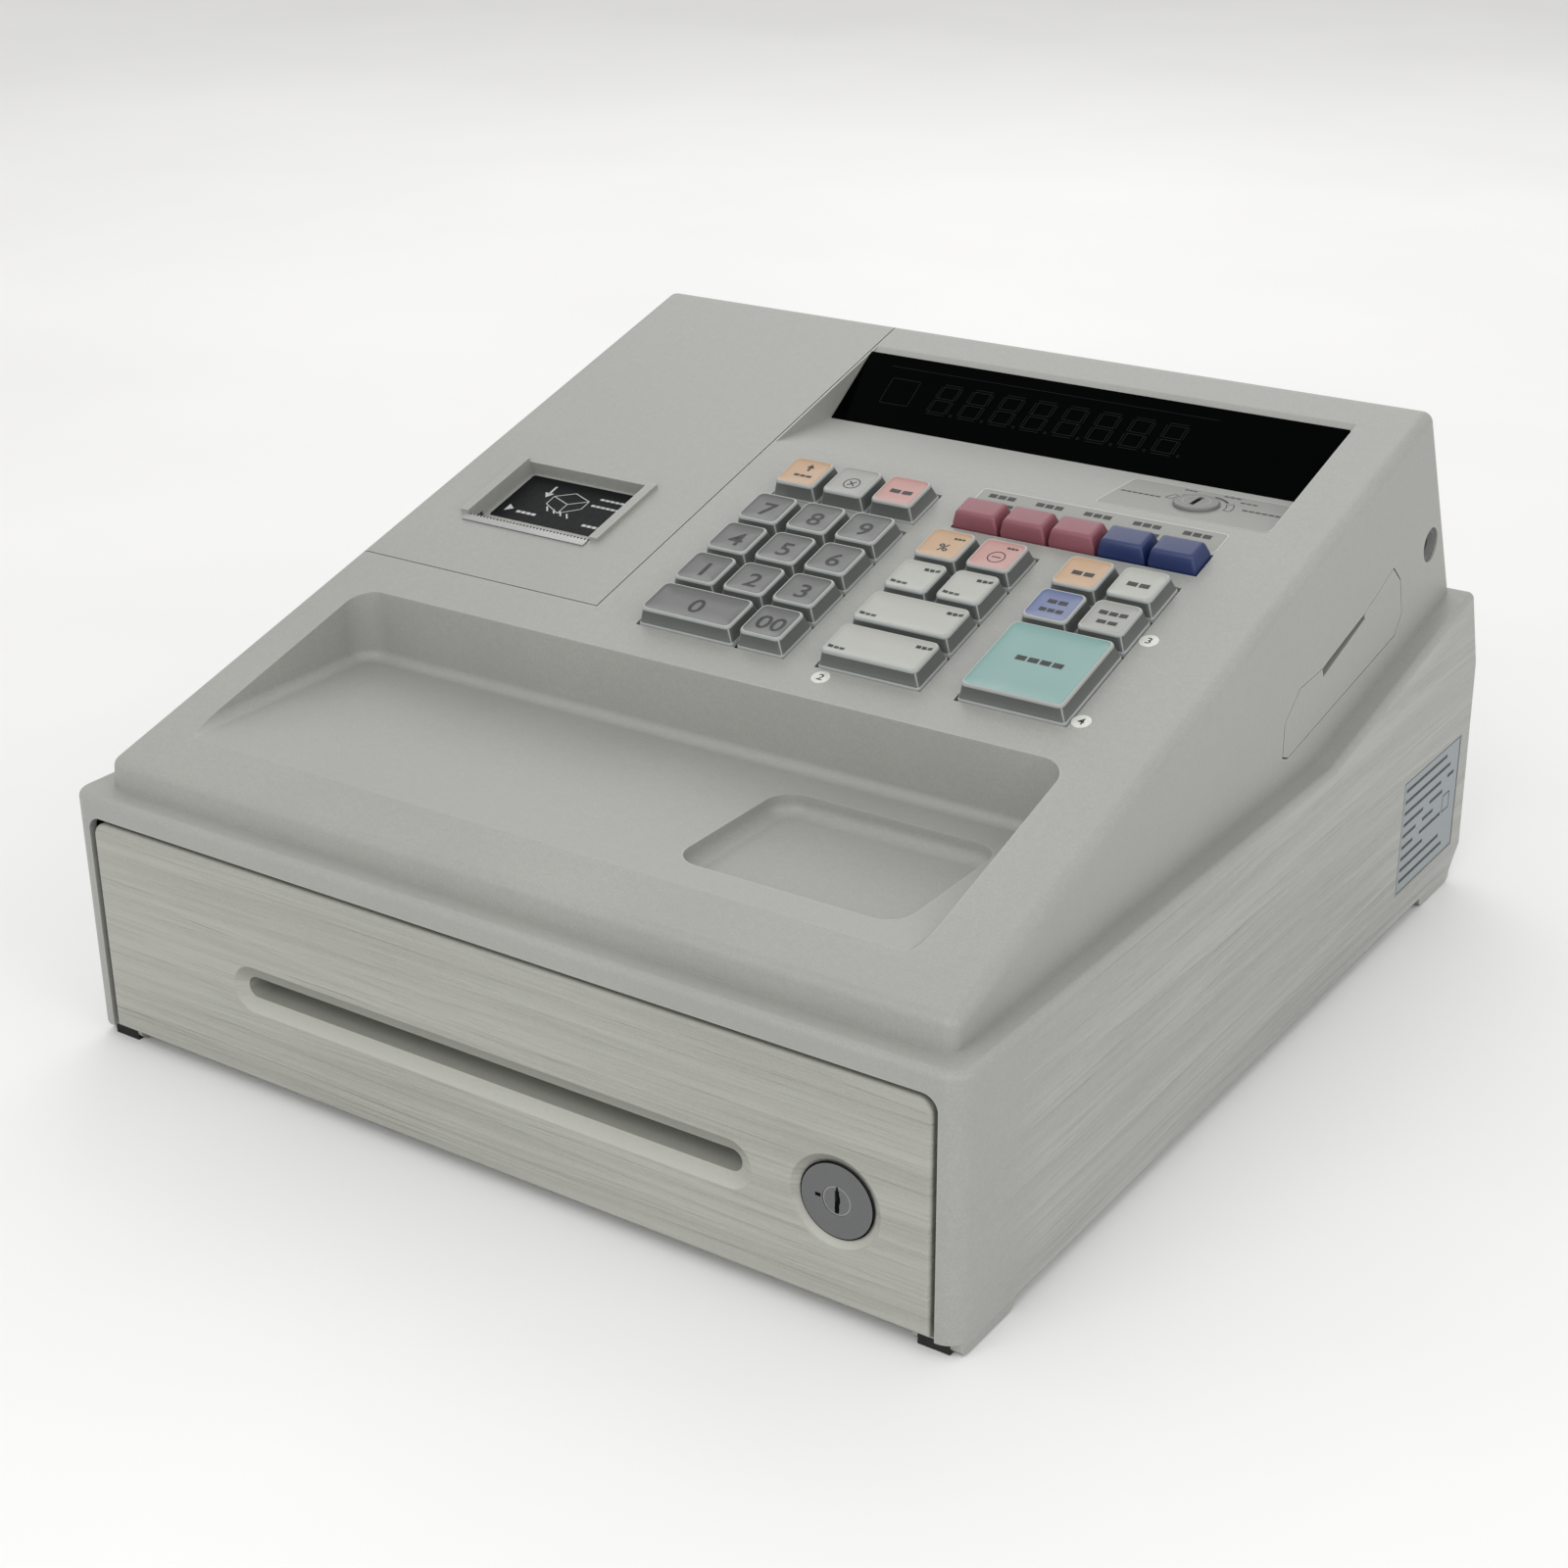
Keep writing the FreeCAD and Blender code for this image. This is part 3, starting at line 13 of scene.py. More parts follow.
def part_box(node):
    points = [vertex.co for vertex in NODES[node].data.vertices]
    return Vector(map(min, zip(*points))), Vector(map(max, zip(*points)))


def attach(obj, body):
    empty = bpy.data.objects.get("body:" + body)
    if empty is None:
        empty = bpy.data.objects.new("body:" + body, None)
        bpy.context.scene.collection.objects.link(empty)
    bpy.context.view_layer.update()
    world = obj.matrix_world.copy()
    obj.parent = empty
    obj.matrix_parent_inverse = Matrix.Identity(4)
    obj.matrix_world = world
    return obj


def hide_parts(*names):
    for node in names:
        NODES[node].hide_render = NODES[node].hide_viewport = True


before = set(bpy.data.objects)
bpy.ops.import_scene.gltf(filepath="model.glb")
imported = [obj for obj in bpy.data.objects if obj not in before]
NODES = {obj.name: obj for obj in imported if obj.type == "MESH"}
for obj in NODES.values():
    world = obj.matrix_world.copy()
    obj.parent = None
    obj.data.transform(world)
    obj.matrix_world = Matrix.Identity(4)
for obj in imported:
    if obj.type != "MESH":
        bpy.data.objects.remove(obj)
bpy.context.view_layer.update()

bl_info = {
    "name": "Cash Register",
    "version": (1, 0, 0),
    "blender": (4, 5, 0),
    "location": "View3D > Sidebar > Cash Register",
    "description": "Builds the finishes, keys and printed marks of a counter-top cash register",
    "category": "Object",
}

MM = 0.001
TAU = math.tau
LABEL_RECESS = 0.3
STUDIO_GAIN = 1.30  # how much brighter a matt surface looks in this studio than its own colour
SLOPE = math.radians(16.1)
GLASS_SLOPE = math.radians(34.2)
LIP_Y, LIP_Z = -171.5, 99.1
GLASS_Y, LEDGE_Z = 90.3, 164.42
MODE_X, MODE_Y = 105.3, 70.3
LOCK_X, LOCK_Z, LOCK_DISH = 127.7, 38.3, 15.0
SLOT_END, SLOT_FLARE, HOLLOWS_Z = 91.8, 8.3, 38.5  # the paper slot's flare, and its height
DRAWER_GAP = 1.5
STICKERS = (("2", 41.0, 118.9), ("3", 128.6, 170.6), ("4", 128.3, 127.1))


# ---- places ----
def panel(u, v, w):
    """A point on the sloping panel, v up the slope from its front edge."""
    return Vector((u, LIP_Y + v * math.cos(SLOPE) - w * math.sin(SLOPE),
                   LIP_Z + v * math.sin(SLOPE) + w * math.cos(SLOPE))) * MM


def glass(u, v, w):
    """A point on the display window, v up its slope from its foot."""
    return Vector((u, GLASS_Y + v * math.cos(GLASS_SLOPE) - w * math.sin(GLASS_SLOPE),
                   LEDGE_Z + v * math.sin(GLASS_SLOPE) + w * math.cos(GLASS_SLOPE))) * MM


def ledge(u, v, w):
    """A point on the level ledge in front of the display, v its place front to back."""
    return Vector((u, v, LEDGE_Z + w)) * MM


def front(u, v, w):
    """A point in front of the drawer: u across, v its height, w how far out it stands."""
    return Vector((u, -w, v)) * MM


# ---- meshes ----
class Piece:
    """One mesh, built face by face from points in millimetres, with a finish for each face."""

    def __init__(self, name, finishes):
        self.name = name
        self.finishes = list(finishes)
        self.points, self.faces, self.marks = [], [], []

    def face(self, points, finish):
        start = len(self.points)
        self.points.extend(points)
        self.faces.append(tuple(range(start, start + len(points))))
        self.marks.append(self.finishes.index(finish))

    def loft(self, rings, finishes, close_start=True, close_end=True):
        """A skin through rings of as many points each; finishes has one finish a band."""
        start, count = len(self.points), len(rings[0])
        for ring in rings:
            self.points.extend(ring)
        for band in range(len(rings) - 1):
            low, high = start + band * count, start + (band + 1) * count
            for n in range(count):
                m = (n + 1) % count
                self.faces.append((low + n, low + m, high + m, high + n))
                self.marks.append(self.finishes.index(finishes[band]))
        if close_start:
            self.faces.append(tuple(reversed(range(start, start + count))))
            self.marks.append(self.finishes.index(finishes[0]))
        if close_end:
            last = start + (len(rings) - 1) * count
            self.faces.append(tuple(range(last, last + count)))
            self.marks.append(self.finishes.index(finishes[-1]))

    def lettering(self, text, place, u, v, height, finish, surface, stretch=1.0):
        """Flat figures, centred on (u, v), laid on the height that surface(u, v) gives."""
        curve = bpy.data.curves.new("figures", "FONT")
        curve.body, curve.align_x, curve.align_y = text, "CENTER", "CENTER"
        curve.size, curve.resolution_u, curve.offset = 1.0, 4, 0.012
        writer = bpy.data.objects.new("figures", curve)
        bpy.context.scene.collection.objects.link(writer)
        mesh = bpy.data.meshes.new_from_object(writer)
        corners = np.array([p.co for p in mesh.vertices])
        low, high = corners.min(0), corners.max(0)
        middle, scale = (low + high) / 2, height / (high[1] - low[1])
        start = len(self.points)
        for x, y, _ in (corners - middle) * scale:
            place_u, place_v = u + x * stretch, v + y
            self.points.append(place(place_u, place_v, surface(place_u, place_v)))
        for polygon in mesh.polygons:
            self.faces.append(tuple(start + n for n in polygon.vertices))
            self.marks.append(self.finishes.index(finish))
        bpy.data.objects.remove(writer)
        bpy.data.meshes.remove(mesh)
        bpy.data.curves.remove(curve)

    def done(self, body, replaced=(), smooth=38.0):
        mesh = bpy.data.meshes.new(self.name)
        mesh.from_pydata([tuple(p) for p in self.points], [], self.faces)
        for finish in self.finishes:
            mesh.materials.append(bpy.data.materials[finish])
        for polygon, mark in zip(mesh.polygons, self.marks):
            polygon.material_index = mark
            polygon.use_smooth = True
        mesh.update()
        mesh.set_sharp_from_angle(angle=math.radians(smooth))
        thing = bpy.data.objects.new(self.name, mesh)
        bpy.context.scene.collection.objects.link(thing)
        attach(thing, body)
        if replaced:
            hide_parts(*replaced)
        return thing


def rounded_ring(half_u, half_v, radius, steps=4):
    """A rectangle's outline with rounded corners, as (u, v) pairs."""
    pairs = []
    for corner, (side_u, side_v) in enumerate(((1, 1), (-1, 1), (-1, -1), (1, -1))):
        for step in range(steps + 1):
            turn = (corner + step / steps) * math.pi / 2
            pairs.append((side_u * (half_u - radius) + radius * math.cos(turn),
                          side_v * (half_v - radius) + radius * math.sin(turn)))
    return pairs


def circle_ring(radius, steps=40):
    return [(radius * math.cos(TAU * n / steps), radius * math.sin(TAU * n / steps))
            for n in range(steps)]


def lay(place, pairs, u, v, w):
    return [place(u + x, v + y, w) for x, y in pairs]


def bar(piece, place, start, end, width, surface, finish):
    """A flat stroke between two (u, v) points."""
    a, b = Vector(start), Vector(end)
    across = (b - a).normalized().orthogonal() * (width / 2)
    piece.face([place(p.x, p.y, surface(p.x, p.y))
                for p in (a + across, b + across, b - across, a - across)][::-1], finish)


def arc(piece, place, centre, radius, width, start, end, surface, finish, steps=24):
    """A flat ring or part of one, from one angle to another in degrees."""
    turns = [math.radians(start + (end - start) * n / steps) for n in range(steps + 1)]
    for a, b in zip(turns, turns[1:]):
        spots = [(radius - width / 2, a), (radius + width / 2, a),
                 (radius + width / 2, b), (radius - width / 2, b)]
        pairs = [(centre[0] + r * math.cos(t), centre[1] + r * math.sin(t)) for r, t in spots]
        piece.face([place(x, y, surface(x, y)) for x, y in pairs], finish)


# ---- finishes ----
def tone(red, green, blue):
    """A colour given as it looks in the studio, 0 to 255, as the share of light it sends back."""
    seen = [value / 255 for value in (red, green, blue)]
    return [min(0.85, (c / 12.92 if c <= 0.04045 else ((c + 0.055) / 1.055) ** 2.4) / STUDIO_GAIN)
            for c in seen]


class Finish:
    """A material's nodes, joined as they are made."""

    def __init__(self, name):
        self.material = bpy.data.materials.new(name)
        self.material.use_nodes = True
        self.tree = self.material.node_tree
        self.shader = self.tree.nodes["Principled BSDF"]
        self.where = self.node("ShaderNodeTexCoord").outputs["Object"]

    def node(self, kind, **values):
        made = self.tree.nodes.new(kind)
        for key, value in values.items():
            setattr(made, key, value)
        return made

    def join(self, source, target):
        self.tree.links.new(source, target)

    def noise(self, scale, detail=3.0, stretch=(1, 1, 1), rough=0.5, distortion=0.0):
        mapping = self.node("ShaderNodeMapping")
        mapping.inputs["Scale"].default_value = stretch
        self.join(self.where, mapping.inputs["Vector"])
        noise = self.node("ShaderNodeTexNoise")
        for name, value in (("Scale", scale), ("Detail", detail), ("Roughness", rough),
                            ("Distortion", distortion)):
            noise.inputs[name].default_value = value
        self.join(mapping.outputs["Vector"], noise.inputs["Vector"])
        return noise.outputs["Fac"]

    def spread(self, source, low, high, to_low=0.0, to_high=1.0):
        """source, stretched from low..high to to_low..to_high."""
        ranged = self.node("ShaderNodeMapRange")
        for name, value in (("From Min", low), ("From Max", high), ("To Min", to_low),
                            ("To Max", to_high)):
            ranged.inputs[name].default_value = value
        self.join(source, ranged.inputs["Value"])
        return ranged.outputs["Result"]

    def sum(self, kind, first, second):
        maths = self.node("ShaderNodeMath", operation=kind)
        for socket, value in zip(maths.inputs, (first, second)):
            if isinstance(value, (int, float)):
                socket.default_value = value
            else:
                self.join(value, socket)
        return maths.outputs[0]

    def axis(self, letter):
        split = self.node("ShaderNodeSeparateXYZ")
        self.join(self.where, split.inputs[0])
        return split.outputs[letter]

    def mix(self, share, first, second):
        """first and second, each a colour or a socket, mixed by share."""
        mixer = self.node("ShaderNodeMix", data_type="RGBA")
        for socket, value in ((mixer.inputs[0], share), (mixer.inputs[6], first),
                              (mixer.inputs[7], second)):
            if isinstance(value, bpy.types.NodeSocket):
                self.join(value, socket)
            elif isinstance(value, (int, float)):
                socket.default_value = value
            else:
                socket.default_value = (*value, 1.0)
        return mixer.outputs[2]

    def bump(self, height, depth, strength=1.0, under=None):
        bump = self.node("ShaderNodeBump")
        bump.inputs["Strength"].default_value = strength
        bump.inputs["Distance"].default_value = depth
        self.join(height, bump.inputs["Height"])
        if under is not None:
            self.join(under, bump.inputs["Normal"])
        return bump.outputs["Normal"]

    def edge_wear_and_sheen(self, reach):
        """Near 1 where the surface turns sharply outwards or inwards within reach."""
        bevel = self.node("ShaderNodeBevel", samples=3)
        bevel.inputs["Radius"].default_value = reach
        flat = self.node("ShaderNodeNewGeometry").outputs["Normal"]
        dot = self.node("ShaderNodeVectorMath", operation="DOT_PRODUCT")
        self.join(bevel.outputs["Normal"], dot.inputs[0])
        self.join(flat, dot.inputs[1])
        return self.spread(dot.outputs["Value"], 0.995, 0.9)

    def set(self, **values):
        for key, value in values.items():
            socket = self.shader.inputs[key.replace("_", " ")]
            if isinstance(value, bpy.types.NodeSocket):
                self.join(value, socket)
            elif isinstance(value, (list, tuple)) and len(value) == 3:
                socket.default_value = (*value, 1.0)
            else:
                socket.default_value = value
        return self


def moulded(name, colour, rough=0.5, grain=0.0007, depth=0.00004, drift=0.05, wear_and_sheen=0.0,
            coat=0.0, specular=0.5):
    """Moulded plastic: fine spark-eroded grain, slow drift in colour, brighter edges that are part wear
    and part painted highlight.
    """
    f = Finish(name)
    fine = f.noise(1 / grain, 2.0)
    slow = f.noise(14.0, 3.0)
    dark = [c * (1 - drift) for c in colour]
    light = [min(1.0, c * (1 + drift)) for c in colour]
    base = f.mix(f.spread(slow, 0.3, 0.7), dark, light)
    base = f.mix(f.spread(fine, 0.35, 0.65, 0.0, 0.30), base, [c * 0.74 for c in colour])
    mottle = f.noise(380.0, 2.0)
    base = f.mix(f.spread(mottle, 0.35, 0.65, 0.0, 0.12), base, [c * 0.74 for c in colour])
    roughness = f.spread(slow, 0.3, 0.7, rough - 0.05, rough + 0.05)
    if wear_and_sheen:
        # brighter edges: part wear, part painted highlight where edges catch the light
        edge = f.sum("MULTIPLY", f.edge_wear_and_sheen(0.0009), wear_and_sheen)
        base = f.mix(edge, base, [min(1.0, c * 1.25) for c in colour])
        roughness = f.sum("SUBTRACT", roughness, f.sum("MULTIPLY", edge, 0.15))
    f.set(Base_Color=base, Roughness=roughness, Normal=f.bump(fine, depth, 0.6),
          Coat_Weight=coat, Coat_Roughness=0.08, Specular_IOR_Level=specular)
    return f


def painted_hollow_shade(f, x, half_length, radius):
    """Painted shade above and painted highlight below, from -1 to 1, inside a round-ended hollow in the
    drawer's face.
    """
    across = f.sum("ABSOLUTE", f.sum("SUBTRACT", f.axis("X"), x * MM), 0)
    past = f.sum("MAXIMUM", f.sum("SUBTRACT", across, half_length * MM), 0.0)
    above = f.sum("SUBTRACT", f.axis("Z"), HOLLOWS_Z * MM)
    reach = f.sum("SQRT", f.sum("ADD", f.sum("MULTIPLY", past, past),
                                f.sum("MULTIPLY", above, above)), 0)
    inside = f.spread(reach, radius * MM, (radius - 0.5) * MM)
    return f.sum("MULTIPLY", inside, f.spread(above, -radius * MM, radius * MM, -1.0, 1.0))


def streaked(name, colour, rough=0.48, clear_front=False, painted_hollows=()):
    """The case's plastic with wavy streaks pressed lengthwise into its upright faces, the streaks' tops
    painted lighter as a painted highlight, and painted shade above and painted highlight below inside any
    hollows given.
    """
    f = moulded(name, colour, rough, wear_and_sheen=0.5)
    wide = f.noise(1.0, 4.0, (4.5, 4.5, 125), 0.55, 0.7)
    narrow = f.noise(1.0, 2.0, (10, 10, 360), 0.5, 0.5)
    height = f.sum("ADD", f.spread(wide, 0.38, 0.62), f.spread(narrow, 0.35, 0.65, 0.0, 0.45))
    upright = f.node("ShaderNodeSeparateXYZ")
    f.join(f.node("ShaderNodeNewGeometry").outputs["Normal"], upright.inputs[0])
    side = f.spread(f.sum("ABSOLUTE", upright.outputs["Z"], 0), 0.5, 0.15)
    if clear_front:
        side = f.sum("MULTIPLY", side, f.spread(f.axis("Y"), -0.170, -0.135))
    height = f.sum("MULTIPLY", height, side)
    fine = f.noise(1 / 0.0007, 2.0)
    low = f.bump(height, 0.0006, 0.9)
    f.set(Normal=f.bump(fine, 0.00004, 0.6, low))
    # painted highlight: the streaks' tops are painted lighter than their hollows, as if they catch a
    # little more light
    source = f.shader.inputs["Base Color"].links[0].from_socket
    share = f.sum("MULTIPLY", f.spread(height, 0.2, 1.2), side)
    base = f.mix(f.sum("MULTIPLY", share, 0.6), source, [min(1.0, c * 1.2) for c in colour])
    # painted shade in the upper part of each hollow and a painted highlight in the lower part, as light
    # from above would fall
    for hollow in painted_hollows:
        painted_light_and_shade = painted_hollow_shade(f, *hollow)
        base = f.mix(f.spread(painted_light_and_shade, 0.1, 1.0, 0.0, 0.6), base, [c * 0.45 for c in colour])
        base = f.mix(f.spread(painted_light_and_shade, -0.1, -1.0, 0.0, 0.6), base,
                     [min(1.0, c * 1.5) for c in colour])
    f.set(Base_Color=base)
    return f


def metal(name, colour, rough=0.35, stretch=(1, 1, 1), scale=900.0, spangle=0.0):
    """Sheet or turned metal: brushed or spangled, with uneven roughness."""
    f = Finish(name)
    brushed = f.noise(scale, 3.0, stretch)
    blotch = f.noise(70.0, 4.0)
    share = f.spread(blotch, 0.35, 0.65, 0.0, 0.25 + spangle)
    base = f.mix(share, colour, [c * 0.72 for c in colour])
    f.set(Base_Color=base, Metallic=1.0,
          Roughness=f.spread(brushed, 0.3, 0.7, rough - 0.08, rough + 0.12),
          Normal=f.bump(brushed, 0.00002, 0.5))
    return f


def rubber(name, colour, rough=0.8):
    f = Finish(name)
    fine = f.noise(1600.0, 3.0)
    dust = f.spread(f.noise(60.0, 4.0), 0.45, 0.75, 0.0, 0.35)
    f.set(Base_Color=f.mix(dust, colour, [min(1.0, c * 1.8 + 0.02) for c in colour]),
          Roughness=f.spread(fine, 0.3, 0.7, rough - 0.1, rough + 0.08),
          Normal=f.bump(fine, 0.00005, 0.6), Specular_IOR_Level=0.3)
    return f


def paper_layers(name, colour):
    """Wound paper: faint rings of layers round the roll, and fibres."""
    f = Finish(name)
    centre = f.node("ShaderNodeVectorMath", operation="SUBTRACT")
    low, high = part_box("paper_roll")
    f.join(f.where, centre.inputs[0])
    centre.inputs[1].default_value = (low + high) / 2
    flat = f.node("ShaderNodeVectorMath", operation="MULTIPLY")
    f.join(centre.outputs[0], flat.inputs[0])
    flat.inputs[1].default_value = (0, 1, 1)
    reach = f.node("ShaderNodeVectorMath", operation="LENGTH")
    f.join(flat.outputs[0], reach.inputs[0])
    layers = f.sum("FRACT", f.sum("MULTIPLY", reach.outputs["Value"], 2600.0), 0)
    fibre = f.noise(1400.0, 4.0)
    base = f.mix(f.spread(layers, 0.0, 1.0, 0.0, 0.2), colour, [c * 0.75 for c in colour])
    f.set(Base_Color=f.mix(f.spread(fibre, 0.4, 0.7, 0.0, 0.15), base, [c * 0.85 for c in colour]),
          Roughness=f.spread(fibre, 0.3, 0.7, 0.72, 0.9), Normal=f.bump(fibre, 0.00003, 0.5))
    return f


def smoked_glass(name):
    """The display's dark window: smooth, with a faint haze of dust."""
    f = Finish(name)
    dust = f.noise(500.0, 5.0)
    haze = f.noise(25.0, 3.0)
    f.set(Base_Color=f.mix(f.spread(haze, 0.4, 0.8, 0.0, 0.5), (0.0002, 0.0004, 0.0004),
                           (0.0006, 0.0010, 0.0011)),
          Roughness=f.spread(dust, 0.45, 0.75, 0.07, 0.16), Specular_IOR_Level=0.015)
    return f


def printed(name, colour, rough=0.5, specular=0.5):
    """Ink on plastic: solid, with slightly uneven cover."""
    f = Finish(name)
    cover = f.noise(900.0, 3.0)
    f.set(Base_Color=f.mix(f.spread(cover, 0.35, 0.7, 0.0, 0.3), colour,
                           [min(1.0, c * 1.35 + 0.004) for c in colour]),
          Roughness=f.spread(cover, 0.3, 0.7, rough - 0.08, rough + 0.08),
          Normal=f.bump(cover, 0.00001, 0.4), Specular_IOR_Level=specular)
    return f


def key_cover(name, colour, rough=0.16, depth=0.10):
    """Clear moulded cover over a coloured card: glossy, with a faint scuffed bloom."""
    f = Finish(name)
    fibre = f.noise(1100.0, 3.0)
    bloom = f.noise(110.0, 4.0)
    base = f.mix(f.spread(fibre, 0.3, 0.7, 0.0, depth), colour, [c * 0.78 for c in colour])
    base = f.mix(f.spread(bloom, 0.45, 0.75, 0.0, 0.10), base, [min(1, c * 1.15 + 0.03) for c in colour])
    f.set(Base_Color=base, Roughness=f.spread(bloom, 0.3, 0.7, 0.42, 0.55),
          Normal=f.bump(fibre, 0.00002, 0.4), Coat_Weight=0.35, Coat_Roughness=rough)
    return f


def circuit_board(name):
    f = Finish(name)
    tracks = f.node("ShaderNodeTexBrick")
    for key, value in (("Scale", 120.0), ("Mortar Size", 0.05), ("Brick Width", 1.3),
                       ("Row Height", 0.3)):
        tracks.inputs[key].default_value = value
    f.join(f.where, tracks.inputs["Vector"])
    base = f.mix(tracks.outputs["Fac"], (0.012, 0.075, 0.03), (0.03, 0.16, 0.06))
    f.set(Base_Color=base, Roughness=f.spread(f.noise(400.0), 0.3, 0.7, 0.3, 0.45),
          Normal=f.bump(tracks.outputs["Fac"], 0.00005, 0.5))
    return f


def paint(holder, name):
    """A colour from a property group, as a list of three."""
    return list(getattr(holder, name))


def colour(label, text, red, green, blue):
    return bpy.props.FloatVectorProperty(name=label, description=text, subtype="COLOR", size=3,
                                         min=0.0, max=1.0, default=tone(red, green, blue))


def number(label, text, default, unit="NONE"):
    return bpy.props.FloatProperty(name=label, description=text, default=default, unit=unit)


# ---- settings ----
class RegisterColours(bpy.types.PropertyGroup):
    shell: colour("Case", "The case's moulded plastic", 173, 174, 169)
    number_card: colour("Number card", "The card in the number keys", 94, 96, 95)
    orange_card: colour("Orange card", "The card in the feed, percent and credit keys", 190, 156, 122)
    pink_card: colour("Pink card", "The card in the clear and minus keys", 188, 141, 135)
    grey_card: colour("Grey card", "The card in the multiply and subtotal keys", 158, 159, 154)
    white_card: colour("White card", "The card in the group and voucher keys", 176, 178, 171)
    blue_card: colour("Blue card", "The card in the shift key", 96, 110, 152)
    teal_card: colour("Teal card", "The card in the total key", 124, 164, 160)
    skirt: colour("Key skirt", "The key covers' clear sides over the dark stem", 98, 101, 99)
    # painted highlight: a pale colour for the clear rims where they catch the light
    rim_highlight: colour("Key rim", "The key covers' bright clear rims", 172, 176, 174)
    mauve: colour("Mauve key", "The first three function keys", 146, 84, 95)
    navy: colour("Navy key", "The last two function keys", 32, 50, 104)
    ink: colour("Ink", "The printed marks", 30, 32, 32)
    lock: colour("Lock face", "The drawer lock's round face", 106, 107, 108)


class RegisterKeys(bpy.types.PropertyGroup):
    pitch: number("Pitch across", "From one key to the next across, mm", 19.5)
    row_pitch: number("Pitch up", "From one row to the next, mm", 19.05)
    base: number("Foot", "Width of a key's foot, mm", 18.3)
    top: number("Top", "Width of a key's top, mm", 15.6)
    height: number("Height", "From the panel to a key's rim, mm", 6.0)
    skirt: number("Skirt", "How far a key reaches below the panel, mm", 1.2)
    dish: number("Dish", "How far a key's top is hollowed, mm", 0.55)
    columns: bpy.props.FloatVectorProperty(name="Columns", size=3, default=(-4.9, 55.3, 106.0),
                                           description="Middle of each block of keys, mm")
    first_row: number("First row", "Middle of the lowest row, up the slope, mm", 132.7)
    top_gap: number("Top gap", "Extra space below the top row of the number block, mm", 4.6)
    function_place: bpy.props.FloatVectorProperty(name="Function keys", size=3,
                                                  default=(81.8, 213.2, 18.0),
                                                  description="Middle across, up and pitch, mm")


class RegisterStudio(bpy.types.PropertyGroup):
    place: bpy.props.FloatVectorProperty(name="Camera", size=3, subtype="TRANSLATION", unit="LENGTH",
                                         default=(0.4639, -0.6949, 0.4387), description="Its place")
    azimuth: number("Azimuth", "Camera's turn round the object", math.radians(34.43), "ROTATION")
    elevation: number("Elevation", "Camera's height as an angle", math.radians(24.14), "ROTATION")
    roll: number("Roll", "Camera's tilt to the side", math.radians(-0.55), "ROTATION")
    lens: number("Lens", "Focal length, mm", 60.78)
    sky: number("Sky", "Brightness of the even studio light", 0.80)


# ---- keys ----
RIM = 0.72
CORNER_STEPS = 5


def key_profile(keys, half_u, half_v, drop_u, drop_v):
    """A covered key's rings from its foot to the middle of its hollow top.

    Each ring is (height, inset from the foot, corner radius); drop is how far the top is set in."""
    rise = keys.height + keys.skirt
    rings = []

    def ring(w, extra, radius):
        share = (w + keys.skirt) / rise
        rings.append((w, half_u - drop_u * share - extra, half_v - drop_v * share - extra, radius))
    ring(-keys.skirt, 0.0, 0.9)
    ring(0.22, 0.0, 0.9)
    ring(0.42, 0.16, 1.0)
    ring(keys.height - 1.35, 0.14, 1.9)
    ring(keys.height - 1.05, 0.02, 2.1)
    ring(keys.height - 0.50, -0.04, 2.2)
    ring(keys.height - 0.16, 0.10, 2.2)
    ring(keys.height - 0.03, 0.34, 2.1)
    ring(keys.height - 0.04, 0.56, 2.0)
    ring(keys.height - 0.16, RIM, 1.9)
    return rings


def top_height(keys, half_u, half_v):
    """How high a key's hollow top is at a point (x, y) from its middle."""
    def height(x, y):
        inset = max(0.0, min(half_u - abs(x), half_v - abs(y)))
        share = min(1.0, inset / 5.0)
        return keys.height - 0.16 - keys.dish * (1 - (1 - share) ** 2)
    return height


def key_stem(piece, x, v, finish):
    square = [(3, 3), (-3, 3), (-3, -3), (3, -3)]
    piece.loft([lay(panel, square, x, v, w) for w in (-8.0, -1.0)], [finish])


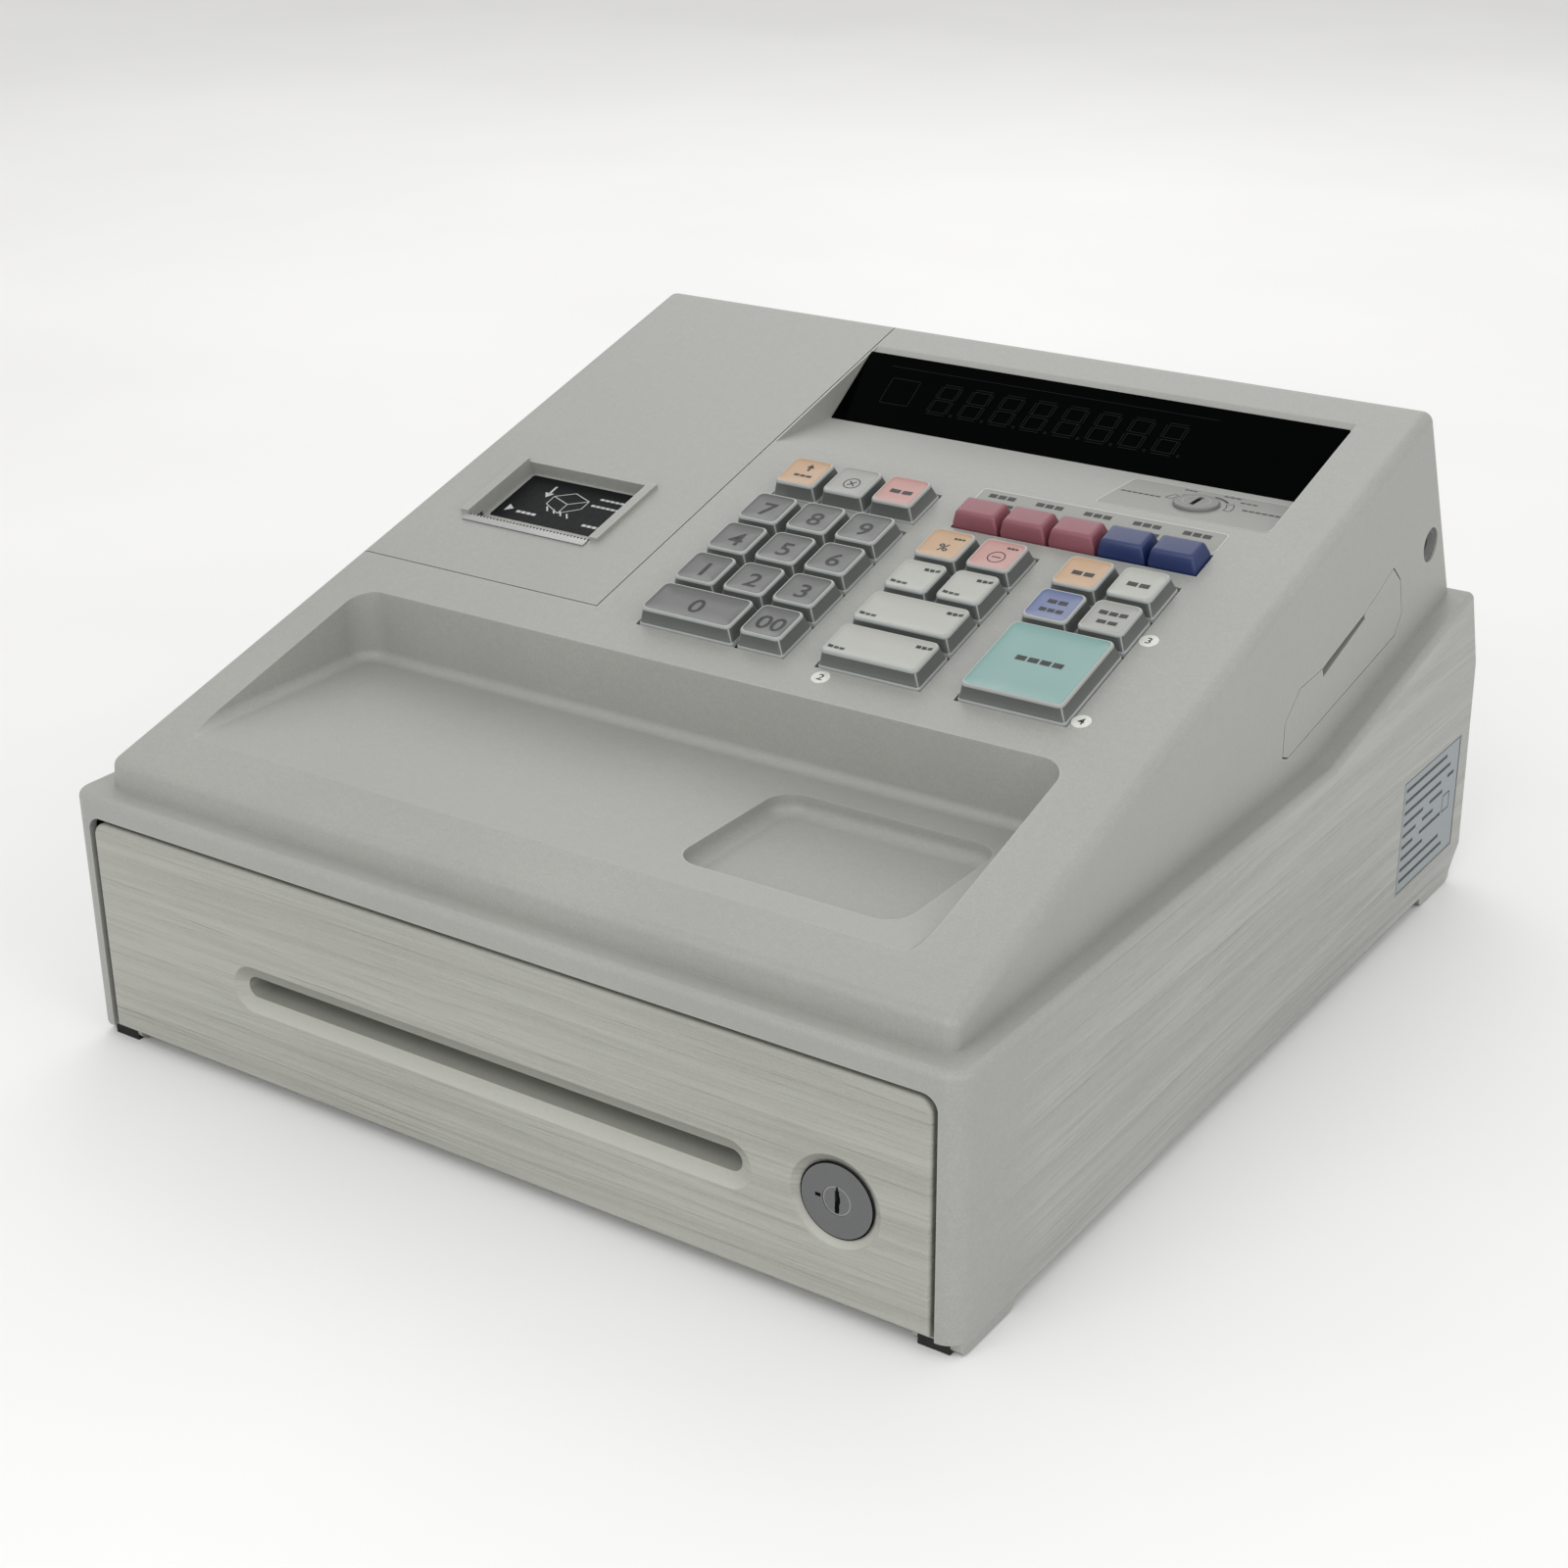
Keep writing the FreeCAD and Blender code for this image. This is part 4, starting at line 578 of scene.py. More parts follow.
def covered_key(name, x, v, wide, deep, card, marks):
    """A key with a clear cover over a coloured card, and marks drawn by a function."""
    keys = bpy.context.scene.register_keys
    half_u, half_v = (keys.base + wide * keys.pitch) / 2, (keys.base + deep * keys.row_pitch) / 2
    drop = (keys.base - keys.top) / 2
    piece = Piece(name + "_cap", ("key_rim_highlight", "key_skirt", card, "key_ink", "key_stem_dark"))
    profile = key_profile(keys, half_u, half_v, drop, drop)
    top_u, top_v = half_u - drop - RIM, half_v - drop - RIM
    # the rim finish on the foot band and the top bead is a painted highlight, a pale colour for clear
    # plastic catching the light
    bands = ["key_rim_highlight", "key_rim_highlight", "key_skirt", "key_skirt", "key_rim_highlight", "key_rim_highlight", "key_rim_highlight",
             "key_rim_highlight", card]
    rings = [lay(panel, rounded_ring(a, b, r, CORNER_STEPS), x, v, w) for w, a, b, r in profile]
    height = top_height(keys, top_u, top_v)
    for inset in (1.0, 2.2, 3.6, 5.2):
        pairs = rounded_ring(top_u - inset, top_v - inset, max(0.2, 1.9 - inset * 0.3), CORNER_STEPS)
        rings.append(lay(panel, pairs, x, v, height(top_u - inset, 0) if inset < 5 else
                         keys.height - 0.16 - keys.dish))
        bands.append(card)
    piece.loft(rings, bands)
    # painted highlight: the rim finish runs down each upright corner of the skirt, where the clear cover
    # would catch the light
    count, rim_highlight = len(rings[0]), piece.finishes.index("key_rim_highlight")
    for band in (n for n, finish in enumerate(bands) if finish == "key_skirt"):
        for n in range(CORNER_STEPS // 2, count, CORNER_STEPS + 1):
            piece.marks[band * count + n] = rim_highlight
    key_stem(piece, x, v, "key_stem_dark")

    def surface(px, py):
        return height(px - x, py - v) + 0.05
    marks(piece, x, v, surface, top_u, top_v)
    return piece.done(name, (name,))


def figures(text, height, stretch=1.12):
    def draw(piece, x, v, surface, half_u, half_v):
        piece.lettering(text, panel, x, v - 0.3, height, "key_ink", surface, stretch)
    return draw


def word(piece, x, v, width, height, surface, finish, place=panel):
    """A worded mark, as one row of plain dashes in place of its letters."""
    count = max(1, round(width / (height * 0.95)))
    step = width / count
    for n in range(count):
        left = x - width / 2 + (n + 0.09) * step
        bar(piece, place, (left, v), (left + step * 0.82, v), height * 0.5, surface, finish)


def words(*spots):
    """Worded marks: each spot is its place across and up and its width and height."""
    def draw(piece, x, v, surface, half_u, half_v):
        for across, up, width, height in spots:
            word(piece, x + across, v + up, width, height, surface, "key_ink")
    return draw


def feed_marks(piece, x, v, surface, half_u, half_v):
    bar(piece, panel, (x, v + 1.6), (x, v + 4.6), 0.9, surface, "key_ink")
    tip = [(x - 1.5, v + 3.4), (x + 1.5, v + 3.4), (x, v + 5.3)]
    piece.face([panel(a, b, surface(a, b)) for a, b in tip], "key_ink")
    word(piece, x, v - 1.6, 7.4, 2.4, surface, "key_ink")


def ringed(strokes, extra=()):
    """A ringed sign, such as the multiply and minus signs."""
    def draw(piece, x, v, surface, half_u, half_v):
        arc(piece, panel, (x, v - 0.6), 2.9, 0.42, 0, 360, surface, "key_ink")
        for (ax, ay), (bx, by) in strokes:
            bar(piece, panel, (x + ax, v - 0.6 + ay), (x + bx, v - 0.6 + by), 0.5, surface, "key_ink")
        for across, up, width, height in extra:
            word(piece, x + across, v + up, width, height, surface, "key_ink")
    return draw


def percent_marks(piece, x, v, surface, half_u, half_v):
    piece.lettering("%", panel, x, v - 1.2, 4.0, "key_ink", surface, 1.1)
    word(piece, x + 3.2, v + 4.3, 4.4, 1.7, surface, "key_ink")


def corners(piece, x, v, surface, half_u, half_v):
    """The two small worded marks of a group key, lower left and upper right."""
    word(piece, x - half_u + 3.5, v - half_v + 2.6, 6.2, 2.6, surface, "key_ink")
    word(piece, x + half_u - 3.3, v + half_v - 2.6, 6.2, 2.6, surface, "key_ink")


class OBJECT_OT_register_keys(bpy.types.Operator):
    """Builds the number, group and payment keys, each a clear cover over a marked card"""
    bl_idname = "object.register_keys"
    bl_label = "Covered Keys"

    def execute(self, context):
        keys = context.scene.register_keys
        columns, row = keys.columns, keys.row_pitch
        first, across = keys.first_row, keys.pitch

        def make(name, x, v, card, marks, wide=0, deep=0):
            covered_key("key_" + name, x, v, wide, deep, card, marks)
        for n, text in enumerate(("1", "2", "3", "4", "5", "6", "7", "8", "9")):
            make(text, columns[0] + (n % 3 - 1) * across, first + (n // 3 + 1) * row, "number_card",
                 figures(text, 7.2))
        make("0", columns[0] - across / 2, first, "number_card", figures("0", 7.2), 1)
        make("00", columns[0] + across, first, "number_card", figures("00", 7.0, 1.1))
        top = first + 4 * row + keys.top_gap
        make("feed", columns[0] - across, top, "orange_card", feed_marks)
        cross = (((-1.3, -1.3), (1.3, 1.3)), ((-1.3, 1.3), (1.3, -1.3)))
        make("multiply", columns[0], top, "grey_card", ringed(cross))
        make("clear", columns[0] + across, top, "pink_card", words((0, 0, 9.4, 4.0)))
        left, right = columns[1] - across / 2, columns[1] + across / 2
        make("percent", left, first + 3 * row, "orange_card", percent_marks)
        minus = ringed((((-1.6, 0), (1.6, 0)),), ((3.2, 4.9, 4.4, 1.7),))
        make("minus", right, first + 3 * row, "pink_card", minus)
        make("group_3", left, first + 2 * row, "white_card", corners)
        make("group_4", right, first + 2 * row, "white_card", corners)
        make("group_2", columns[1], first + row, "white_card", corners, 1)
        make("group_1", columns[1], first, "white_card", corners, 1)
        left, right = columns[2] - across / 2, columns[2] + across / 2
        make("credit", left, first + 3 * row, "orange_card", words((0, 0, 8.4, 4.2)))
        make("voucher", right, first + 3 * row, "white_card", words((0, 0, 8.4, 4.2)))
        make("shift", left, first + 2 * row, "blue_card",
             words((0, 2.3, 7.6, 3.8), (0, -2.3, 8.8, 3.6)))
        make("subtotal", right, first + 2 * row, "grey_card",
             words((0, 2.3, 10.4, 3.8), (0, -2.3, 7.6, 3.6)))
        make("total", columns[2], first + row / 2, "teal_card", words((0, 1.0, 17.0, 4.6)),
             1, 1)
        return {"FINISHED"}


class OBJECT_OT_register_function_keys(bpy.types.Operator):
    """Builds the five chunky function keys above the covered ones"""
    bl_idname = "object.register_function_keys"
    bl_label = "Function Keys"

    def execute(self, context):
        middle, v, pitch = context.scene.register_keys.function_place
        for n in range(5):
            name = "key_function_%d" % (n + 1)
            finish, slot = ("mauve_plastic", "mauve_key") if n < 3 else ("navy_plastic", "navy_key")
            piece = Piece(name + "_cap", (finish, "key_stem_dark"))
            x = middle + (n - 2) * pitch
            rings = []
            for w, a, b, r in ((-1.2, 8.45, 5.8, 0.6), (1.6, 8.40, 5.75, 0.7), (2.1, 8.25, 5.6, 0.8),
                               (5.0, 7.50, 4.90, 0.9), (5.55, 7.20, 4.6, 1.0), (5.86, 6.70, 4.1, 0.9),
                               (5.92, 6.00, 3.4, 0.7)):
                rings.append(lay(panel, rounded_ring(a, b, r), x, v, w))
            piece.loft(rings, [finish] * (len(rings) - 1))
            key_stem(piece, x, v, "key_stem_dark")
            piece.done(name, (name,), smooth=28.0)
        return {"FINISHED"}


# ---- marks on the panel ----
def flat(height):
    return lambda u, v: height


def outline(piece, place, u, v, half_u, half_v, radius, width, surface, finish):
    """A thin line round a rounded rectangle."""
    outer = rounded_ring(half_u, half_v, radius)
    inner = rounded_ring(half_u - width, half_v - width, max(0.05, radius - width))
    for n in range(len(outer)):
        m = (n + 1) % len(outer)
        pairs = [outer[n], outer[m], inner[m], inner[n]]
        piece.face([place(u + a, v + b, surface(u + a, v + b)) for a, b in pairs], finish)


class OBJECT_OT_register_legends(bpy.types.Operator):
    """Prints the function strip, the three stickers, and the switch's plate and face"""
    bl_idname = "object.register_legends"
    bl_label = "Printed Legends"

    def execute(self, context):
        middle, _, pitch = context.scene.register_keys.function_place
        strip = Piece("function_strip", ("plate_tint", "pale_line", "key_ink"))
        half_u, half_v, u, v = 45.5, 5.6, 81.3, 226.3
        strip.loft([lay(panel, rounded_ring(half_u, half_v, 1.6), u, v, w) for w in (0.0, 0.05)],
                   ["plate_tint"])
        outline(strip, panel, u, v, half_u, half_v, 1.6, 0.35, flat(0.07), "pale_line")
        for n in range(5):
            word(strip, middle + (n - 2) * pitch - 1.0, v + 2.0, 10.6, 4.4, flat(0.08), "key_ink")
        for n in (0, 3):
            word(strip, middle + (n - 2) * pitch + 1.5, v - 2.6, 8.6, 3.8, flat(0.08), "key_ink")
        strip.done("case")
        for digit, u, v in STICKERS:
            sticker = Piece("sticker_" + digit, ("sticker_white", "key_ink"))
            sticker.loft([lay(panel, circle_ring(r), u, v, w) for w, r in ((0, 3.1), (0.10, 3.1),
                          (0.14, 3.0))], ["sticker_white"] * 2)
            sticker.lettering(digit, panel, u, v, 3.0, "key_ink", flat(0.17), 1.1)
            sticker.done("case")
        plate = Piece("switch_plate", ("plate_tint", "pale_line", "key_ink"))
        x, y = MODE_X, MODE_Y
        plate.loft([lay(ledge, rounded_ring(31.0, 15.0, 2.0), 106.0, 70.6, w) for w in (0.0, 0.05)],
                   ["plate_tint"])
        outline(plate, ledge, 106.0, 70.6, 31.0, 15.0, 2.0, 0.35, flat(0.07), "pale_line")
        up = flat(0.09)
        for start, end in ((100, 140), (40, 80)):
            arc(plate, ledge, (x, y), 10.6, 1.1, start, end, up, "key_ink")
        for start, end in ((150, 172), (-4, 32)):
            arc(plate, ledge, (x, y), 9.9, 0.35, start, end, up, "key_ink")
            arc(plate, ledge, (x, y), 12.3, 0.35, start, end, up, "key_ink")
            for turn in (start, end):
                c, s = math.cos(math.radians(turn)), math.sin(math.radians(turn))
                bar(plate, ledge, (x + 9.9 * c, y + 9.9 * s), (x + 12.3 * c, y + 12.3 * s), 0.35, up,
                    "key_ink")
        for across, back, width, height in ((-21.0, 1.0, 15.0, 2.2), (-8.0, 12.6, 4.6, 1.8),
                                            (7.0, 13.0, 6.4, 2.0), (14.5, 9.6, 6.4, 2.0),
                                            (22.0, 2.8, 14.0, 2.6)):
            word(plate, x + across, y + back, width, height, up, "key_ink", place=ledge)
        plate.done("case")
        top = flat(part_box("mode_lock_barrel")[1].z / MM - LEDGE_Z + 0.03)
        face = Piece("mode_face", ("black_and_painted_shade", "plug_rim"))
        arc(face, ledge, (x, y), 4.7, 0.5, 0, 360, top, "plug_rim", 40)
        # painted shade: the switch's key slot as a flat black bar
        bar(face, ledge, (x, y - 2.6), (x, y + 2.6), 1.3, top, "black_and_painted_shade")
        face.done("mode_lock")
        return {"FINISHED"}


class OBJECT_OT_register_display(bpy.types.Operator):
    """Lays the unlit digits of the display under its smoked window"""
    bl_idname = "object.register_display"
    bl_label = "Display Digits"

    def execute(self, context):
        digits = Piece("display_digits", ("ghost_segment",))
        up = flat(0.03)
        width, height, slant, first, step = 7.4, 13.0, 0.10, -12.0, 12.9
        for n in range(8):
            x, foot = first + n * step, 10.2

            def spot(a, b):
                return (x + a * width / 2 + (b - 0.5) * height * slant, foot + b * height)
            for a, b in (((-1, 0), (1, 0)), ((-1, 0.5), (1, 0.5)), ((-1, 1), (1, 1)),
                         ((-1, 0.04), (-1, 0.46)), ((1, 0.04), (1, 0.46)),
                         ((-1, 0.54), (-1, 0.96)), ((1, 0.54), (1, 0.96))):
                start, end = Vector(spot(*a)), Vector(spot(*b))
                side = (end - start).normalized().orthogonal() * 0.5
                for offset in (side, -side):
                    bar(digits, glass, start + offset, end + offset, 0.16, up, "ghost_segment")
            arc(digits, glass, (x + width / 2 + 2.0, foot), 0.5, 0.16, 0, 360, up, "ghost_segment", 10)
        outline(digits, glass, -31.0, 17.0, 6.0, 6.0, 0.6, 0.16, up, "ghost_segment")
        bar(digits, glass, (-40, 28.2), (92, 28.2), 0.14, up, "ghost_segment")
        digits.done("case")
        return {"FINISHED"}


# ---- printer, lock and case details ----
class OBJECT_OT_register_printer(bpy.types.Operator):
    """Fits the instruction plate and the tear teeth in the printer's outlet"""
    bl_idname = "object.register_printer"
    bl_label = "Printer Details"

    def execute(self, context):
        plate = Piece("printer_plate", ("label_black", "label_white"))
        u, v, depth = -107.0, 181.0, -4.95
        plate.loft([lay(panel, rounded_ring(25.6, 13.6, 1.0), u, v, w) for w in (depth, depth + 0.15)],
                   ["label_black"])
        up = flat(depth + 0.18)

        def line(a, b, c, d, width=0.35):
            bar(plate, panel, (u + a, v + b), (u + c, v + d), width, up, "label_white")
        for a, b, c, d in ((-9, 4, -2, 8), (-2, 8, 6, 5), (6, 5, -1, 1), (-1, 1, -9, 4), (-9, 4, -9, -1),
                           (-9, -1, -1, -5), (-1, -5, -1, 1), (6, 5, 6, 0), (6, 0, -1, -5)):
            line(a, b, c, d)
        for n in range(4):
            line(-7.5 + n * 3.4, -2.5 - n * 0.6, -5.5 + n * 3.4, -5.0 - n * 0.6, 0.6)
        line(-12.0, 9.6, -12.0, 4.5, 0.9)
        plate.face([panel(u + a, v + b, depth + 0.18) for a, b in ((-14, 5.2), (-12, 2.4), (-10, 5.2))],
                   "label_white")
        plate.face([panel(u + a, v + b, depth + 0.18) for a, b in ((-22, -9.6), (-22, -5.4), (-19, -7.5))],
                   "label_white")
        word(plate, u - 12.5, v - 8.6, 9.0, 2.6, up, "label_white")
        word(plate, u + 17.0, v - 8.6, 9.0, 2.6, up, "label_white")
        for b, width in ((7.6, 13.0), (3.2, 15.0)):
            word(plate, u + 15.6, v + b, width, 2.2, up, "label_white")
        plate.done("printer_lid")
        low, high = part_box("tear_bar")
        teeth = Piece("tear_teeth", ("tear_steel",))
        count, left = 36, low.x / MM
        span = (high.x - low.x) / MM / count
        for n in range(count):
            a = left + n * span
            outer = [(a, 157.9), (a + span, 157.9), (a + span / 2, 159.6)]
            teeth.loft([[panel(x, y, w) for x, y in outer] for w in (0.1, 0.55)], ["tear_steel"])
        teeth.done("printer_lid", smooth=20.0)
        return {"FINISHED"}


class OBJECT_OT_register_lock(bpy.types.Operator):
    """Marks the lock's index, and lays black painted shade on the keyway, in a ring round the lock's face
    and as a sheet behind the gap round the drawer
    """
    bl_idname = "object.register_lock"
    bl_label = "Drawer Lock Marks"

    def execute(self, context):
        low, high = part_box("drawer_lock_plug")
        x, z = LOCK_X, LOCK_Z
        face = -low.y / MM + 0.02
        way = Piece("keyway", ("black_and_painted_shade", "plug_rim"))
        # painted shade: the keyway is a black face on the plug, where the slot holds only shade
        edge = [(-0.2, 4.6), (0.35, 4.4), (0.45, 2.6), (1.0, 1.4), (1.1, -0.2), (0.75, -1.2),
                (0.8, -2.8), (0.6, -4.0), (-0.6, -4.0), (-0.75, -2.4), (-0.6, -1.2), (-0.1, -0.1),
                (0.0, 1.2), (-0.35, 2.4)]
        way.face([front(x + a, z + b, face) for a, b in edge], "black_and_painted_shade")
        arc(way, front, (x, z), 4.35, 0.35, 0, 360, flat(face), "plug_rim", 40)
        way.done("drawer_key")
        low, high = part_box("drawer_lock_housing")
        face = -low.y / MM + 0.02
        mark = Piece("lock_index_and_ring_shade", ("black_and_painted_shade",))
        bar(mark, front, (x - 7.0, z + 0.2), (x - 5.2, z + 0.2), 1.1, flat(face), "black_and_painted_shade")
        # painted shade: a black ring in the crevice round the lock's round face
        arc(mark, front, (x, z), 11.85, 0.5, 0, 360, flat(face - 0.25), "black_and_painted_shade", 56)
        mark.done("drawer")
        low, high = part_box("drawer_front")
        left, right, top = low.x / MM, high.x / MM, high.z / MM
        gap, depth = DRAWER_GAP, -low.y / MM - 3.2
        # painted shadow: a black sheet just behind the gap round the drawer front, where the gap holds
        # only shade
        painted_shadow = Piece("drawer_gap", ("black_and_painted_shade",))
        for a, b, c, d in ((left - gap, low.z / MM, left - 0.1, top + gap),
                           (right + 0.1, low.z / MM, right + gap, top + gap),
                           (left - 0.1, top + 0.1, right + 0.1, top + gap)):
            painted_shadow.face([front(u, v, depth) for u, v in ((a, b), (c, b), (c, d), (a, d))],
                        "black_and_painted_shade")
        painted_shadow.done("case")
        return {"FINISHED"}


class OBJECT_OT_register_contacts(bpy.types.Operator):
    """Lays the rubber contact sheet with its domes on the circuit board"""
    bl_idname = "object.register_contacts"
    bl_label = "Contact Sheet"

    def execute(self, context):
        keys = context.scene.register_keys
        sheet = Piece("contact_sheet", ("contact_rubber",))
        low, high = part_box("main_board")
        middle, half = (low.x + high.x) / 2 / MM, (high.x - low.x) / 2 / MM - 1
        along = (keys.first_row + 12.0 + keys.first_row + 5 * keys.row_pitch - 12.0) / 2
        sheet.loft([lay(panel, rounded_ring(half, 48.0, 3.0), middle, along, w)
                    for w in (-13.15, -12.2)], ["contact_rubber"])
        spots = [(keys.columns[0] + a * keys.pitch, keys.first_row + b * keys.row_pitch)
                 for a in (-1, 0, 1) for b in range(4)]
        spots += [(keys.columns[c] + a * keys.pitch / 2, keys.first_row + b * keys.row_pitch)
                  for c in (1, 2) for a in (-1, 1) for b in range(4)]
        for x, v in spots:
            sheet.loft([lay(panel, circle_ring(r, 16), x, v, w) for w, r in
                        ((-12.2, 4.0), (-11.0, 2.8), (-10.9, 1.0))], ["contact_rubber"] * 2,
                       close_start=False)
        sheet.done("case")
        return {"FINISHED"}


class OBJECT_OT_register_label(bpy.types.Operator):
    """Sticks a plain rating label with a few generic bars on the case's right side"""
    bl_idname = "object.register_label"
    bl_label = "Rating Label"

    def execute(self, context):
        label = Piece("rating_label", ("label_silver", "key_ink"))
        middle_y, middle_z = 146.5, 38.0
        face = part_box("lower_case")[1].x / MM - LABEL_RECESS

        def side(u, v, w):
            return Vector((face + w, middle_y + u, middle_z + v)) * MM
        label.loft([lay(side, rounded_ring(26.2, 21.7, 1.0), 0, 0, w) for w in (0.0, 0.14)],
                   ["label_silver"])
        up = flat(0.17)
        for row, spans in enumerate((((-24, 14),), ((-24, 18),), ((-24, 10), (16, 22)),
                                     ((-24, -6), (0, 12)), ((-24, -12), (-6, 4)), ((-24, -14), (-8, 12)),
                                     ((-24, -4),), ((-24, 12),), ((-24, 16),))):
            for start, end in spans:
                v = 18.0 - row * 4.4
                bar(label, side, (start, v), (end, v), 1.3, up, "key_ink")
        outline(label, side, 16.5, -1.0, 3.4, 3.4, 0.5, 0.5, up, "key_ink")
        outline(label, side, 0, 0, 26.0, 21.5, 1.0, 0.3, up, "key_ink")
        label.done("case")
        return {"FINISHED"}


# ---- finishes of every node ----
NODE_FINISHES = {
    "lower_case": "case_streaked", "upper_case": "case_moulded", "printer_cover": "case_moulded",
    "battery_cover": "case_moulded", "drawer_front": "drawer_streaked", "base_plate": "zinc_sheet",
    "drawer_box": "zinc_sheet", "drawer_latch": "zinc_sheet", "drawer_catch": "zinc_sheet",
    "case_screws": "screw_steel", "rubber_feet": "foot_rubber", "battery_cells": "cell_wrap",
    "jack_socket": "inner_plastic", "key_frame": "inner_plastic", "main_board": "circuit_board",
    "display_window": "smoked_glass", "display_tube": "tube_glass", "tear_bar": "tear_steel",
    "mode_switch_body": "inner_plastic", "mode_lock_barrel": "switch_grey",
    "printer_chassis": "inner_plastic", "platen_roller": "platen_rubber",
    "printer_drive_gear": "gear_acetal", "paper_roll": "wound_paper",
    "drawer_lock_housing": "lock_face", "drawer_lock_plug": "lock_plug",
    "till_insert": "till_plastic", "note_clip_1": "till_plastic", "note_clip_2": "till_plastic",
    "note_clip_3": "till_plastic",
}


class OBJECT_OT_register_finishes(bpy.types.Operator):
    """Makes every finish and gives the CAD nodes theirs"""
    bl_idname = "object.register_finishes"
    bl_label = "Finishes"

    def execute(self, context):
        colours = context.scene.register_colours
        shell, ink = paint(colours, "shell"), paint(colours, "ink")
        moulded("case_moulded", shell, 0.46, wear_and_sheen=0.6)
        streaked("case_streaked", shell, clear_front=True)
        warm = [shell[0], shell[1] * 0.995, shell[2] * 0.95]
        # the drawer's finish paints shade and highlight into the paper slot's flare and the lock's dish
        streaked("drawer_streaked", warm, painted_hollows=((0.0, SLOT_END, SLOT_FLARE),
                                                  (LOCK_X, 0.0, LOCK_DISH)))
        for card in ("number", "orange", "pink", "grey", "white", "blue", "teal"):
            key_cover(card + "_card", paint(colours, card + "_card"))
        key_cover("key_skirt", paint(colours, "skirt"), 0.12, 0.2)
        # painted highlight: the rims' pale colour stands in for clear plastic catching the light
        key_cover("key_rim_highlight", paint(colours, "rim_highlight"), 0.1, 0.05)
        printed("key_ink", ink)
        printed("key_stem_dark", (0.02, 0.02, 0.02), 0.6)
        for name in ("mauve", "navy"):
            moulded(name + "_plastic", paint(colours, name), 0.42, 0.0005, 0.00003, 0.04, 0.5, 0.1)
        moulded("lock_face", paint(colours, "lock"), 0.42, 0.0005, 0.00003, 0.05, 0.4)
        moulded("lock_plug", [c * 1.05 for c in paint(colours, "lock")], 0.36, 0.0006, 0.00002)
        printed("plug_rim", tone(150, 150, 150), 0.35)
        moulded("switch_grey", tone(128, 130, 127), 0.4, 0.0005, 0.00003, 0.05, 0.4)
        # black for the lock's index mark, and painted shade on the keyways, round the lock's face and
        # behind the gap round the drawer
        printed("black_and_painted_shade", (0.002, 0.002, 0.002), 0.9, 0.05)
        printed("plate_tint", [c * 0.70 for c in shell], 0.42)
        printed("pale_line", tone(205, 206, 201), 0.5)
        printed("sticker_white", tone(226, 226, 220), 0.45)
        printed("label_black", (0.0030, 0.0036, 0.0045), 0.5, 0.12)
        printed("label_white", tone(196, 198, 198), 0.5)
        printed("label_silver", tone(146, 154, 158), 0.4)
        printed("ghost_segment", (0.0075, 0.0105, 0.0115), 0.6, 0.1)
        smoked_glass("smoked_glass")
        smoked_glass("tube_glass")
        metal("zinc_sheet", (0.55, 0.56, 0.56), 0.38, (1, 1, 1), 500.0, 0.25)
        metal("screw_steel", (0.62, 0.61, 0.58), 0.3, (1, 1, 1), 2500.0)
        metal("tear_steel", (0.42, 0.42, 0.42), 0.32, (40, 1, 1), 300.0)
        rubber("foot_rubber", (0.012, 0.012, 0.012))
        rubber("platen_rubber", (0.03, 0.03, 0.032), 0.65)
        rubber("contact_rubber", (0.30, 0.30, 0.29), 0.7)
        moulded("inner_plastic", (0.035, 0.035, 0.036), 0.5, 0.0008, 0.00004)
        moulded("till_plastic", (0.055, 0.056, 0.058), 0.5, 0.0009, 0.00006, 0.08, 0.5)
        moulded("gear_acetal", (0.70, 0.69, 0.63), 0.35, 0.0006, 0.00002)
        moulded("cell_wrap", (0.05, 0.055, 0.075), 0.3, 0.0012, 0.00001, 0.15, 0.0, 0.4)
        paper_layers("wound_paper", tone(236, 236, 230))
        circuit_board("circuit_board")
        for name, finish in NODE_FINISHES.items():
            thing = NODES[name]
            if not thing.material_slots:
                thing.data.materials.append(None)
            for held in thing.material_slots:
                held.material = bpy.data.materials[finish]
        return {"FINISHED"}


